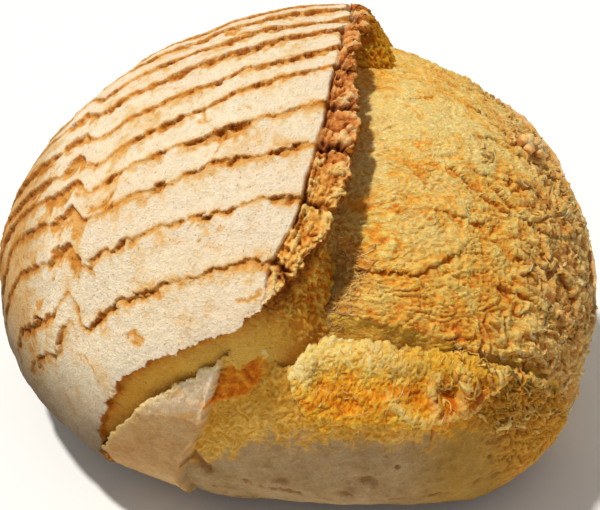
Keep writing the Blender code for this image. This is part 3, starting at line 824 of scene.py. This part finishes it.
def bloom():
    us = grade([(-92, 1.2), (-62, 0.52), (78, 0.52), (100, 1.2), (132, 1.9)])
    vs = grade([(-96, 0.52), (72, 0.52), (96, 1.2), (165, 1.9)])
    S = Sheet((0.60, -0.14, 0.78), (0, 1, 0), us, vs)
    se, te = S.measure(rim)  # positive under the crust
    sb, tb = S.measure(bloom_edge)  # positive below the edge, towards the cut
    sg = S.away(gully)
    sc, tc = S.measure(far_crust)
    over = sb > 0
    w = np.maximum(sb, 0)
    foot, out_dir, down_dir = bloom_edge.at(tb, "p"), bloom_edge.at(tb, "out"), bloom_edge.at(tb, "right")
    base = np.where(over[..., None], foot, S.p)
    rad = np.where(over[..., None], out_dir, S.d)
    x, y, z = base[..., 0], base[..., 1], base[..., 2]
    up = smooth(z, 10, 50)
    taper = 1 - smooth(x, 66, 92)
    near = 1 - smooth(x, -4, 14)  # beside the ear's tip, where the crumb runs out into the cut
    dip = VALLEY_DIP * (1 - 0.75 * smooth(y, 14, 36)) * up
    h = -dip * bell(np.minimum(np.abs(se), 40), VALLEY_REACH)
    h = np.where(se > 0, np.minimum(h, -dip) - 0.12 * se, h)
    h -= 6.0 * bell(sg, 9.0) * up * smooth(z, 80, 96)
    h -= 1.6 + 5.0 * smooth(y, -10, 60) * smooth(z, 70, 104)
    h -= 2.6 * smooth(x, 80, 92) * bell(z - 40, 28) * smooth(-y, -10, 20)
    h += 0.9 * S.slow(1 / 30, 2, 41) + 0.6 * S.slow(1 / 11, 2, 42)
    low = smooth(1.1 * smooth(x, 36, 92) + 0.9 * smooth(108 - z, 0, 28) + 0.6 * S.slow(1 / 16, 2, 66), 0.4, 1.4)

    # creases: the scores run on over the crumb, torn wide and soft
    wander = 2.2 * S.slow(1 / 15, 2, 43) + 0.9 * noise(base, 1 / 3.6, 44)
    crease_shade = np.zeros(h.shape)
    crease_highlight = np.zeros(h.shape)
    for k, d in enumerate(score_distances(base, S.n, wander)[:9]):
        along = np.stack([x / 11, np.full(x.shape, k * 5.3 + 2.0), np.full(x.shape, 0.7)], -1)
        on = smooth(noise(along) + 0.45 * smooth(x, 20, 70), 0.1, 0.9) * up * mix(0.45, 1.0, low)
        h += on * (0.9 * bell(np.minimum(d, 0), 4.0) * (d < 0) - 1.3 * bell(np.maximum(d, 0), 2.4) * (d >= 0))
        crease_shade = np.maximum(crease_shade, on * bell(d - 0.6, 1.0))
        crease_highlight = np.maximum(crease_highlight, on * bell(d + 1.2, 1.6))
    for pts in TEARS:
        d = S.measure(Line(pts))[0]
        d = S.away(Line(pts)) * np.where(d < 0, -1, 1) + 0.8 * noise(base, 1 / 3.0, 46)
        h += 0.7 * bell(np.minimum(d, 0), 4.0) * (d < 0) - 1.5 * bell(np.maximum(d, 0), 1.6) * (d >= 0)
        crease_shade = np.maximum(crease_shade, bell(d - 0.5, 0.9))
    ragged = 1.5 * line_noise(tb, 1 / 9, 51) + 0.8 * line_noise(tb, 1 / 3, 52) + 0.4 * line_noise(tb, 1 / 1.2, 53)
    cut = np.maximum(w - 2.5, 0)
    p = base + rad * h[..., None] + down_dir * (ragged * np.exp(-np.maximum(-sb, 0) / 3))[..., None]
    a = 0.3 * np.minimum(w, 2.5) + 0.95 * cut
    b = (-1.2 * smooth(w, 0, 2.5) * (1 - near) - mix(0.26, 0.22, near) * cut - cut ** 2 / mix(110, 300, near)) * taper
    p = p + down_dir * a[..., None] + rad * b[..., None]

    # crumb: fibres drawn out along the creases near the ear, curled flakes farther off
    flow = np.array([[0.95, -0.31, 0.0], [0.31, 0.95, 0.0], [0.0, 0.0, 1.0]])
    q = p @ flow.T * np.array([0.5, 1.0, 1.0])
    flake1, depth1 = petals(q, 7.5, 61)
    flake2, depth2 = petals(q, 3.0, 66)
    web, _, _ = curls(p @ flow.T * np.array([0.6, 1.0, 1.0]), 2.2, 71)
    ridge1 = 1 - 2 * np.abs(noise(q, 1 / 1.9, 64))
    n = grid_normals(p)
    on_top = mix(0.3, 1.0, 1 - smooth(w, 1.5, 6))
    lower = smooth(-y, 5, 45)
    relief = (mix(0.35 + 0.6 * lower, 2.5, low) * (flake1 - 0.5) + mix(0.30 + 0.4 * lower, 0.9, low) * (flake2 - 0.5) + 0.30 * ridge1
              + mix(0.4 + 0.3 * lower, 0.5, low) * (web - 0.3) + 0.6 * low * depth1)
    p = p + n * (relief * on_top + 0.08 * noise(p, 1 / 0.9, 67))[..., None]

    # colour
    patch = fbm(p @ flow.T * np.array([1 / 11.0, 1 / 6.0, 1 / 6.0]), 1.0, 4, 68, 0.7)
    blot = S.slow(1 / 28, 2, 69)
    beside = smooth(-se, 4, 16)
    warm = bell((x - 34) / 24, 1) * smooth(112 - z, -4, 14)
    gold = (0.17 + 0.27 * smooth(patch, 0.10, 1.1) * beside + 0.10 * blot + 0.16 * S.slow(1 / 14, 2, 70) - 0.05 * ridge1
            + 0.14 * warm * (0.6 + patch))
    gold -= 0.36 * bell(np.hypot(x - 40, y + 2), 20)
    # The crumb is painted paler on the flakes' edges and threads and deeper orange in the hollows between, here and in
    # the tan below: partly painted highlight and shade, partly the crumb's own tone.
    gold += mix(0.20, 0.42, low) * (0.5 - flake1) + mix(0.16, 0.26, low) * (0.5 - flake2) + 0.18 * (0.35 - web)
    # The creases are painted darker along their shadowed side and paler along their lit side: painted shade and painted
    # highlight.
    gold += 0.22 * crease_shade - 0.08 * crease_highlight + 0.08 * smooth(patch, 0.70, 1.3) * beside + 0.04 * bell(se, 12) + 0.06 * low - 0.08 * depth1
    tint = ramp(gold, CRUMB)
    tan = ramp(0.2 + 0.45 * flake1 + 0.3 * flake2, [(0, (176, 104, 22)), (0.5, (230, 164, 76)), (1, (254, 220, 154))])
    tint = mix(tint, tan, smooth(smooth(x, 50, 95) + 0.3 * blot, 0.35, 0.95) * 0.65)
    # Beside the ear and down the gully the crumb is dulled and darkened: painted shade where the ear's shadow falls.
    ear_gully_shade = smooth(bell(sg, 16) + bell(se, 10) * 0.6 + near * smooth(w, 0, 6), 0.2, 1.0)
    tint = mix(tint, tint * linear((226, 214, 190)), ear_gully_shade)
    slope = ramp(smooth(w, 1, 6) + 0.12 * ridge1, [(0, (226, 172, 70)), (0.5, (236, 198, 108)), (1, (214, 178, 96))])
    tint = tint * scale((1, 1, 1), (0.98, 0.88, 0.58), smooth(116 - z, -6, 8) * (1 - smooth(x, 55, 80)))
    tint = mix(tint, slope * scale((1.1, 1.08, 0.45), (1.15, 1.0, 0.2), smooth(x, 30, 60)), smooth(w, 0.6, 4.0) * (1 - 0.3 * near) * 0.85)
    # A painted pool of light: bounce light in the ear's shadow beside the gully.
    tint = tint * (1 + 0.35 * bell(np.hypot(x - 8, y + 60), 13))[..., None]
    ok = (se < 16) & (sb < 26) & (sc < 6)
    add_sheet("bloom", S, p, ok, tint, BLOOM_MAT)

    seen = ok & (se < -1) & (z > 40)
    tones = [(216, 150, 56), (240, 192, 96), (250, 220, 146), (255, 236, 180)]
    shreds("bloom_threads", S, p, seen * (0.10 + 0.9 * low) * (w < 1), 300, 9, 0.8, (0.35, 0.65), (0.25, 0.4), 0.4,
           tones[:3], 11, 0.5, 0.6, -0.35)
    shreds("bloom_flakes", S, p, seen * np.clip(low - 0.3, 0, 1) * (w < 1), 260, 7, 1.1, (1.4, 3.6), (0.25, 0.45), 0.8,
           [(200, 122, 34), (226, 156, 62), (240, 186, 98), (248, 210, 138)], 12, 0.45, 0.8, -0.35)
    shreds("gully_threads", S, p, ok * (se < -0.5) * smooth(bell(sg, 12) + near * bell(se, 14), 0.25, 0.8) * (z > 60), 420,
           9, 0.8, (0.35, 0.7), (0.25, 0.4), 0.7, [(196, 132, 52), (226, 172, 84), (240, 202, 124)], 13, 0.5, 0.5, -0.9)


CLUMP = (79, 9, 106)


def clump():
    """Knob of burst nodules standing out at the right."""
    rng = np.random.RandomState(31)
    centre = on_dome(CLUMP)
    up = unit(centre - CENTRE)
    e1 = unit(np.cross(up, (0, 0, 1)))
    e2 = np.cross(up, e1)
    co, faces, tint = [], [], []
    th, ph = np.meshgrid(np.linspace(0, np.pi, 13), np.linspace(0, 2 * np.pi, 19)[:-1], indexing="ij")
    ball = np.stack([np.sin(th) * np.cos(ph), np.sin(th) * np.sin(ph), np.cos(th)], -1)
    i, j = np.meshgrid(np.arange(12), np.arange(18), indexing="ij")
    quads = np.stack([i * 18 + j, (i + 1) * 18 + j, (i + 1) * 18 + (j + 1) % 18, i * 18 + (j + 1) % 18], -1).reshape(-1, 4)
    for k in range(26):
        a, r = rng.rand() * 2 * np.pi, math.sqrt(rng.rand())
        at = centre + e1 * math.cos(a) * r * 4.6 + e2 * math.sin(a) * r * 7.2 + up * (-1.0 + 4.6 * (1 - r * r) * rng.uniform(0.6, 1.0))
        size = rng.uniform(1.2, 2.5)
        q = at + ball * size * np.array([1.0, rng.uniform(0.7, 1.2), rng.uniform(0.7, 1.1)])
        q = q + ball * (0.55 * noise(q, 1 / 1.7, 111) + 0.25 * noise(q, 1 / 0.8, 112))[..., None]
        faces.append(quads + len(co) * 0 + sum(len(c) for c in co))
        co.append(q.reshape(-1, 3))
        # Each nodule is painted paler on top and darker underneath: painted light and shade.
        t = 0.5 + 0.4 * noise(q, 1 / 1.6, 113) - 0.3 * (ball @ up) + rng.uniform(-0.15, 0.15)
        tint.append(ramp(t, [(0, (250, 212, 150)), (0.4, (238, 182, 108)), (0.8, (214, 140, 66)), (1.2, (170, 98, 36))]).reshape(-1, 3))
    co, faces = np.concatenate(co), np.concatenate(faces)
    count = len(co) // ball.reshape(-1, 3).shape[0]
    n = int(math.ceil(math.sqrt(count)))
    k = np.repeat(np.arange(count), ball.reshape(-1, 3).shape[0])
    lu = np.tile(np.stack([ph / 7.0, th / 3.5], -1).reshape(-1, 2), (count, 1))
    uv = (np.stack([k % n, k // n], -1) + 0.05 + 0.9 * lu) / n
    add_mesh("clump", co, faces, np.concatenate(tint), FLAKE_MAT, uv)


# ---------------------------------------------------------------- the bottom of the front cut
def cut_floor():
    us = grade([(-92, 1.1), (92, 1.1)])
    vs = grade([(-14, 1.1), (34, 1.1)])
    S = Sheet((0.02, -0.72, 0.69), (0, 0, 1), us, vs)
    x, z = S.p[..., 0], S.p[..., 2]
    p = S.p - S.d * (9.5 - 6.5 * bell(x + 10, 14) * smooth(98 - z, 0, 6) + 6 * smooth(z, 98, 104) + 2.5 * smooth(np.abs(x), 20, 60) + 1.2 * S.slow(1 / 14, 2, 101)
                     + 0.5 * noise(S.p, 1 / 2.5, 102))[..., None]
    s, _ = S.measure(front_rim)
    # The bottom of the cut is painted a dull, darker orange: painted shade down in the cut.
    tint = ramp(0.62 + 0.15 * noise(S.p, 1 / 3, 103), CRUMB) * linear((226, 208, 180))
    add_sheet("cut_floor", S, p, (s < 6) & (s > -34), tint, BLOOM_MAT)


# ---------------------------------------------------------------- far side crust, beyond the bloom
def far_side():
    us = grade([(-110, 1.1), (110, 1.1)])
    vs = grade([(-75, 1.1), (75, 1.1)])
    S = Sheet((0.80, 0.58, 0.10), (0, 0, 1), us, vs)
    sc, tc = S.measure(far_crust)
    sr, _ = S.measure(rim)
    inside = sc >= 0
    w = np.maximum(-sc, 0)
    foot, out_dir, inn = far_crust.at(tc, "p"), far_crust.at(tc, "out"), far_crust.at(tc, "right")
    base = np.where(inside[..., None], S.p, foot)
    rad = np.where(inside[..., None], S.d, out_dir)
    _, _, jag1 = cells(base, 1 / 5.0, 23)
    h = -2.6 - 4.0 * bell(base[..., 2] - 38, 22) * smooth(-base[..., 1], 0, 30) + 2.4 * bell(sc, 11) + 1.2 * S.slow(1 / 34, 2, 71) + 0.6 * S.slow(1 / 12, 2, 72)
    ragged = 1.6 * line_noise(tc, 1 / 11, 73) + 0.9 * line_noise(tc, 1 / 3.4, 74) + 1.0 * jag1
    p = base + rad * h[..., None] - inn * (ragged * np.exp(-np.maximum(sc, 0) / 4))[..., None]
    p = p + inn * (1.2 * smooth(w, 0.5, 5))[..., None] - rad * (np.minimum(w, 7) * 0.95)[..., None]
    n = grid_normals(p)
    mid = noise(p, 1 / 2.6, 75)
    p = p + n * (0.25 * mid + 0.15 * noise(p, 1 / 1.2, 76))[..., None]
    blot = S.slow(1 / 22, 3, 77)
    toast = 0.14 + 0.10 * blot + 0.18 * smooth(noise(base, 1 / 8, 78) + 0.3 * jag1, 0.2, 0.9) + 0.08 * bell(sc, 3)
    toast += 0.05 * mid + 0.16 * smooth(30 - base[..., 2], 0, 28)
    toast = np.maximum(toast, 0.38 * smooth(w, 0.2, 1.5))
    add_sheet("far_crust", S, p, (sc > -7) & (sr < 2), ramp(toast, FLOUR), CRUST_MAT)


# ---------------------------------------------------------------- front: flap, lip and pale face
# blistered orange end of the flap, three-cornered, by (x, z)
BUBBLE = [(-30, 97), (-17, 98), (-21, 84), (-27, 77), (-42, 70)]
LIP_STRANDS = [[(61, -82, 83), (61, -85, 78), (57, -88, 76), (52, -92, 73), (46, -94, 71), (44, -96, 68)],
               [(38, -90, 85), (36, -93, 81), (37, -95, 76), (35, -97, 72)],
               [(21, -95, 82), (25, -97, 77), (29, -98, 74), (34, -97, 72), (41, -96, 72), (44, -95, 73)],
               [(46, -87, 86), (47, -89, 81), (46, -92, 77), (46, -94, 72)],
               [(63, -82, 81), (68, -82, 76), (73, -79, 72), (79, -77, 66), (82, -76, 59)]]
LIP_HOLLOWS = [(31, -95, 80), (42, -93, 79), (53, -88, 79), (8, -96, 80), (-2, -93, 86)]
BASE_CRACKS = [[(-30, -98, 33), (-19, -100, 32), (-9, -102, 32)], [(20, -103, 30), (34, -101, 29), (46, -98, 30)]]
DIMPLES = [(16, -104, 43), (57, -96, 32), (64, -92, 32), (42, -100, 29), (29, -102, 28), (-16, -102, 38), (8, -104, 34)]
FLAP_HOLLOW = [(-51, -91, 47), (-48, -93, 42), (-43, -94, 37)]


def foot_step(x):
    """How far the foot of the front stands out from the dome at the table."""
    return 3.2 * bell(x - 62, 13) + 3.4 * bell(x + 36, 15) - 4.4 * bell(x - 18, 40) - 2.0 * bell(x + 56, 14)


def front():
    us = grade([(-96, 0.55), (96, 0.55), (112, 1.0)])
    vs = grade([(-98, 1.5), (-70, 1.2), (-58, 0.7), (0, 0.55), (78, 0.55)])
    S = Sheet((0.03, -0.92, 0.38), (0, 0, 1), us, vs)
    s, t = S.measure(front_rim)  # positive on the front body
    sq, tq = S.measure(fringe)  # positive below the fringe
    sp, tp = S.measure(flap_edge)  # positive on the flap's side
    ss, _ = S.measure(flap_step)
    inside = s >= 0
    w = np.maximum(-s, 0)
    foot, out_dir, inn = front_rim.at(t, "p"), front_rim.at(t, "out"), front_rim.at(t, "right")
    base = np.where(inside[..., None], S.p, foot)
    rad = np.where(inside[..., None], S.d, out_dir)
    x, y, z = base[..., 0], base[..., 1], base[..., 2]
    rough1, rough2 = noise(base, 1 / 1.3, 81), noise(base, 1 / 2.7, 82)
    _, _, jag = cells(base, 1 / 3.6, 26)
    sp = sp + 0.9 * noise(base, 1 / 8, 83) + 0.3 * rough2 + 0.25 * jag
    sq = sq + 1.3 * noise(base, 1 / 5, 84) + 0.7 * rough2 + 0.9 * jag
    ss = ss + 0.8 * noise(base, 1 / 5, 85) + 0.3 * rough1 + 0.3 * jag
    flap = smooth(sp, -0.5, 0.7)
    lip = (1 - smooth(sq, -0.4, 0.8)) * (1 - flap) * smooth(x + 1.5 * noise(base, 1 / 6, 80), -22, -12)
    right = smooth(x + 0.25 * (z - 60), 50, 72)
    face = (1 - lip) * (1 - flap)
    bubble = np.full(s.shape, 9.0)  # distance in from the blister's edge
    for (x0, z0), (x1, z1) in zip(BUBBLE, BUBBLE[1:] + BUBBLE[:1]):
        bubble = np.minimum(bubble, ((z1 - z0) * (x - x0) - (x1 - x0) * (z - z0)) / math.hypot(x1 - x0, z1 - z0))
    dist = np.hypot(x + 25, z - 88)
    bubble = smooth(bubble + 0.5 * rough2 + 0.3 * jag, -0.2, 1.2) * (y < 0)
    h = LIP_LIFT * bell(s, 10) * smooth(z, 20, 60) * (1 - right) * (1 - 0.8 * lip) - 2.2 * bell(s, 3.5) * lip
    h += 1.4 * flap * (1 - 0.5 * smooth(s, 0, 30)) + 0.9 * flap * smooth(-ss, -0.4, 0.5) * smooth(x, -86, -66)
    h += 0.9 * flap * bell(sp, 1.6)
    h += lip * (3.6 * bell(sq + 4, 9) + 1.0) - FACE_SET_BACK * face * (1 - right) * smooth(z, 4, 26)
    h += bubble * (2.6 + 0.8 * noise(base, 1 / 4, 79))
    strand = np.zeros(s.shape)
    for pts in LIP_STRANDS:
        strand = np.maximum(strand, bell(S.away(Line(pts)) + 0.3 * rough2, 1.1) * (0.75 + 0.4 * rough2))
    hollow = np.zeros(s.shape)
    for at in LIP_HOLLOWS:
        hollow = np.maximum(hollow, bell(np.linalg.norm(base - on_dome(at), axis=-1) + 0.8 * rough2, 3.4))
    crack = np.zeros(s.shape)
    for pts in BASE_CRACKS:
        crack = np.maximum(crack, bell(S.away(Line(pts)) + 0.9 * rough2, 0.7))
    pocket = bell(S.away(Line(FLAP_HOLLOW)) + 0.9 * rough2 + 0.5 * jag, 2.0) * (1 - flap) * smooth(-sp, 0.3, 1.5)
    h += 1.5 * strand - 2.0 * hollow * lip - 0.8 * crack - 1.8 * pocket
    h += foot_step(x) * (1 - smooth(z, 4, 34))
    h -= 2.6 * smooth(x, 66, 82) * bell(z - 40, 24)
    h += 1.0 * S.slow(1 / 34, 2, 86) * (1 - right) + 0.3 * S.slow(1 / 12, 2, 87)
    ragged = (1.1 * line_noise(t, 1 / 8, 88) + 0.8 * line_noise(t, 1 / 2.8, 89) + 0.5 * line_noise(t, 1 / 1.1, 90)
              + 0.7 * jag + 4.5 * bell(dist, 7) - 2.4 * bell(t - front_rim.place(on_dome((-15, -88, 90))), 5))
    p = base + rad * h[..., None] - inn * (ragged * np.exp(-np.maximum(s, 0) / 3))[..., None]
    p = p + inn * (1.2 * smooth(w, 1, 6) + 0.10 * w)[..., None] - rad * (np.minimum(w, 20) * 0.9)[..., None]

    flake1, depth1 = petals(p, 4.2, 91)
    flake2, _ = petals(p, 2.3, 96)
    web, q, _ = curls(p, 2.6, 101)
    web2, _, _ = curls(p, 1.7, 106)
    ridge1 = 1 - 2 * np.abs(noise(q, np.array([1 / 3.4, 1 / 1.7, 1 / 1.7]), 94))
    f2 = noise(q, 1 / 1.1, 95)
    n = grid_normals(p)
    coarse = smooth(x, 20, 60) * lip
    pit1, _, _ = cells(base, 1 / 9.0, 12)
    pits = smooth(0.17 - pit1, 0, 0.12) * face * (1 - right) * smooth(60 - z, 0, 10)
    for at in DIMPLES:
        pits = np.maximum(pits, bell(np.linalg.norm((base - on_dome(at)) * np.array([0.6, 1, 1]), axis=-1) + 0.5 * rough2, 1.9))
    flour_bits = smooth(noise(base, 1 / 2.0, 96), 0.15, 0.5) * flap * smooth(-ss, -1, 4) * smooth(z, 52, 66)
    golden = face * (1 - right) * smooth(z + 3 * rough2 + 3 * jag - mix(43, 61, smooth(x, -46, -16)), -5, 4)  # torn crumb left of the lip
    wild = np.maximum(lip, right * (0.4 + 0.9 * smooth(z, 14, 50)))
    relief = (wild * (0.15 * ridge1 + 0.10 * f2 + mix(0.35, 1.0, coarse) * (flake1 - 0.5) + mix(0.15, 0.4, coarse) * (flake2 - 0.5)
                      + 0.8 * (web - 0.3) + 0.2 * (web2 - 0.3) + 0.2 * depth1 + 0.9 * noise(base, 1 / 7, 77))
              + right * (1 - lip) * smooth(z, 14, 50) * (1.7 * (flake1 - 0.5) + 0.9 * (flake2 - 0.5))
              + face * (1 - right) * (0.22 * rough2 + 0.16 * rough1 + 0.25 * noise(base, 1 / 4.5, 78)) + golden * (0.4 * (flake1 - 0.5) + 0.35 * (web - 0.3))
              - 1.2 * pits + flap * (0.24 * rough2 + 0.20 * rough1 + 0.25 * smooth(-ss, -1, 2) * (flake2 - 0.5)) + 0.35 * flour_bits + smooth(w, 0, 2) * 0.35 * f2
              + 0.4 * bubble * (flake2 - 0.5))
    p = p + n * relief[..., None]

    # colour
    blot = S.slow(1 / 24, 3, 97)
    # The lip is painted paler along its top near the rim and deeper orange lower down, paler on flake edges and threads
    # and darker in its hollows: partly painted highlight and shade, partly the crumb's own tone.
    rim_top_highlight = bell(s, 8)
    gold = 0.30 + 0.28 * smooth(fbm(q, 1 / 8, 3, 98, 0.7), 0.0, 0.9) + 0.08 * blot - 0.06 * ridge1
    gold += 0.12 * (0.5 - flake1) + 0.10 * (0.5 - flake2) + 0.24 * (0.3 - web) + 0.12 * (0.3 - web2) + 0.24 * smooth(s, 5, 16) - 0.12 * rim_top_highlight
    gold += 0.08 * coarse - 0.30 * strand + 0.25 * hollow - 0.06 * depth1
    lip_tint = ramp(gold, [(0.0, (255, 236, 168)), (0.25, (255, 220, 116)), (0.45, (254, 194, 58)), (0.65, (244, 158, 18)),
                           (0.9, (216, 120, 6)), (1.2, (160, 82, 4))])
    lip_tint = lip_tint * scale((1, 0.97, 0.95), (0.88, 0.63, 0.15), smooth(x + 0.8 * (z - 84), 14, 44))
    lip_tint = lip_tint * scale((1, 1, 1), (1.0, 0.94, 0.62), smooth(s, 8, 18))
    mottle = noise(base, 1 / 4.5, 78) + 0.8 * rough2 + 0.7 * rough1
    face_tint = ramp(0.36 + 0.35 * blot + 0.24 * mottle + 0.25 * smooth(34 - z, 0, 34),
                     [(0, (190, 162, 120)), (0.5, (176, 146, 100)), (1.0, (138, 108, 62))])
    warm = np.maximum(smooth(bell(sq, 3) + 0.4 * smooth(z, 62, 76), 0.3, 1.0) * 0.55, golden)
    face_tint = mix(face_tint, ramp(0.45 - 0.3 * flake1 - 0.3 * web + 0.2 * blot + 0.1 * rough2,
                                    [(-0.2, (246, 204, 112)), (0.2, (228, 172, 58)), (0.6, (202, 134, 24))]), warm)
    flap_tint = ramp(0.4 + 0.4 * blot + 0.15 * rough2 - 0.35 * smooth(-ss, -1, 3),
                     [(0, (250, 222, 184)), (0.4, (236, 196, 146)), (0.8, (212, 164, 108)), (1.2, (190, 138, 82))])
    flap_tint = mix(flap_tint, linear((240, 190, 108)), 0.7 * smooth(noise(base, 1 / 5, 99) + 0.4 * jag, 0.25, 0.7) * smooth(z, 40, 60))
    flap_tint = mix(flap_tint, linear((254, 228, 168)), 0.8 * bell(s, 1.6))
    flap_tint = mix(flap_tint, linear((226, 160, 70)), 0.7 * bell(ss, 0.8) * smooth(x, -56, -48))
    flap_tint = flap_tint * mix(1.04, 0.74, smooth(78 - z, 0, 24))[..., None] ** np.array([1, 1.3, 2.2])
    # Paler on the flakes' edges, darker between them: partly painted highlight and shade.
    tan = ramp(0.1 + 0.5 * flake1 + 0.3 * flake2, [(0, (130, 76, 12)), (0.5, (206, 144, 48)), (1, (244, 200, 112))])
    tint = mix(mix(face_tint, lip_tint, lip), flap_tint, flap)
    tint = mix(tint, tint * np.array([1, 0.84, 0.30]), smooth(x, 26, 50) * smooth(sq, 0, 5) * (1 - flap))
    tint = mix(tint, tan * np.array([1.15, 1.1, 0.7]), right * (1 - 0.6 * lip))
    # Pits, base cracks and the flap's pocket are painted darker brown: partly painted shade in these hollows.
    tint = mix(tint, linear((150, 96, 44)), 0.6 * pits)
    tint = mix(tint, linear((150, 92, 34)), 0.75 * np.maximum(crack, pocket))
    tint = mix(tint, linear((250, 222, 152)), 0.6 * np.clip(strand, 0, 1) * np.maximum(lip, right))
    burnt = ramp(0.4 + 0.4 * rough2 + 0.3 * f2 + 0.5 * bell(s, 3.5), [(0, (200, 96, 2)), (0.5, (240, 142, 8)), (0.9, (252, 190, 70)),
                                                                      (1.2, (255, 226, 160))])
    tint = mix(tint, burnt, bubble)
    base_edge = smooth(20 - z + 5 * rough2 + 4 * blot, 0, 16)
    tint = mix(tint, ramp(0.5 + 0.5 * rough1, [(0, (92, 54, 14)), (1, (138, 88, 34))]), 0.9 * base_edge)
    tint = mix(tint, ramp(0.5 + 0.5 * f2, [(0, (206, 150, 66)), (1, (244, 208, 128))]), smooth(w, 0.3, 1.5))
    shreds("lip_threads", S, p, lip * (s > 1) * (z > 60), 300, 6, 0.7, (0.22, 0.42), (0.2, 0.3), 0.35,
           [(226, 150, 30), (246, 190, 70), (255, 222, 130)], 17, 0.45, 0.5)
    shreds("lip_flakes", S, p, np.maximum(lip, right * smooth(z, 40, 60)) * smooth(x, 34, 50) * (s > 1), 70, 8, 1.1, (1.2, 2.6), (0.25, 0.4), 1.4,
           [(200, 118, 22), (234, 166, 56), (248, 200, 104)], 18, 0.4, 0.8)
    add_sheet("front", S, p, (s > -20), tint, FRONT_MAT)


def underside():
    """The flat toasted base."""
    rings, spokes = 60, 360
    ang = np.linspace(0, 2 * np.pi, spokes, endpoint=False)
    flat = unit(np.stack([np.cos(ang), np.sin(ang), np.zeros(spokes)], -1))
    # radius of the dome at the table, found by stepping along each spoke
    r = np.full(spokes, 80.0)
    for _ in range(30):
        at = flat * r[:, None]
        d = unit(at - CENTRE)
        edge = dome_radius(d)
        r *= edge / np.linalg.norm(at - CENTRE, axis=1)
    at = flat * r[:, None]
    r = r * 1.01 + foot_step(at[:, 0]) * smooth(-at[:, 1], 20, 50) - 2.2 * smooth(at @ np.array([0.8, 0.58, 0.0]), 20, 60)
    share = np.linspace(0, 1, rings)
    R, A = np.meshgrid(share, ang, indexing="ij")
    co = flat[None] * (r[None] * R)[..., None]
    co[..., 2] = 0.25 * smooth(noise(co, 1 / 9, 5), 0, 1) + 1.2 * smooth(R, 0.97, 1.0)
    mid = noise(co, 1 / 3.0, 6)
    toast = 0.35 + 0.25 * fbm(co, 1 / 30, 3, 3) + 0.10 * mid + 0.15 * R
    tint = ramp(toast, [(0, (226, 190, 140)), (0.4, (196, 140, 82)), (0.8, (140, 84, 38)), (1.1, (90, 50, 20))])
    i, j = np.meshgrid(np.arange(rings - 1), np.arange(spokes), indexing="ij")
    j2 = (j + 1) % spokes
    quads = np.stack([i * spokes + j, i * spokes + j2, (i + 1) * spokes + j2, (i + 1) * spokes + j], -1)
    quads = quads.reshape(-1, 4)
    uv = (co[..., :2].reshape(-1, 2) / 240 + 0.5).clip(0.01, 0.99)
    add_mesh("underside", co.reshape(-1, 3), quads, tint.reshape(-1, 3), CRUST_MAT, uv)


crust()
bloom()
clump()
cut_floor()
far_side()
front()
underside()

for o in MADE:
    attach(o, "root")
    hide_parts("loaf")

# ---------------------------------------------------------------- floor, light, camera
me = bpy.data.meshes.new("floor")
me.from_pydata([(-3, -3, 0), (3, -3, 0), (3, 3, 0), (-3, 3, 0)], [], [(0, 1, 2, 3)])
floor = bpy.data.objects.new("floor", me)
bpy.context.scene.collection.objects.link(floor)
pale = bpy.data.materials.new("pale_floor")
pale.use_nodes = True
pale.node_tree.nodes["Principled BSDF"].inputs["Base Color"].default_value = (0.86, 0.86, 0.85, 1)
pale.node_tree.nodes["Principled BSDF"].inputs["Roughness"].default_value = 0.9
me.materials.append(pale)

sun = bpy.data.lights.new("key", "SUN")
sun.energy = 3.04
sun.angle = math.radians(4)
sun.color = (1.0, 0.965, 0.91)
key = bpy.data.objects.new("key", sun)
to_light = Vector((-0.31, 0.10, 0.94)).normalized()
key.rotation_euler = to_light.to_track_quat("Z", "Y").to_euler()
bpy.context.scene.collection.objects.link(key)

world = bpy.data.worlds.new("studio")
world.use_nodes = True
world.node_tree.nodes["Background"].inputs["Color"].default_value = (1.0, 0.98, 0.95, 1)
world.node_tree.nodes["Background"].inputs["Strength"].default_value = 0.36
bpy.context.scene.world = world
bpy.context.scene.view_settings.view_transform = "Standard"

ELEV, DIST, FOCAL_PX = math.radians(42.0), 662.0, 1659.0
target = np.array([-8.5, 4.8, 55.2]) + SHIFT
back = np.array([0.0, -math.cos(ELEV), math.sin(ELEV)])
cam_data = bpy.data.cameras.new("camera")
cam_data.lens = FOCAL_PX * 36.0 / 600.0
cam_data.sensor_width = 36.0
cam_data.clip_start, cam_data.clip_end = 0.05, 20.0
cam = bpy.data.objects.new("camera", cam_data)
cam.location = Vector((target + back * DIST) * MM)
cam.rotation_euler = Vector(back).to_track_quat("Z", "Y").to_euler()
bpy.context.scene.collection.objects.link(cam)
bpy.context.scene.camera = cam

bpy.context.view_layer.update()
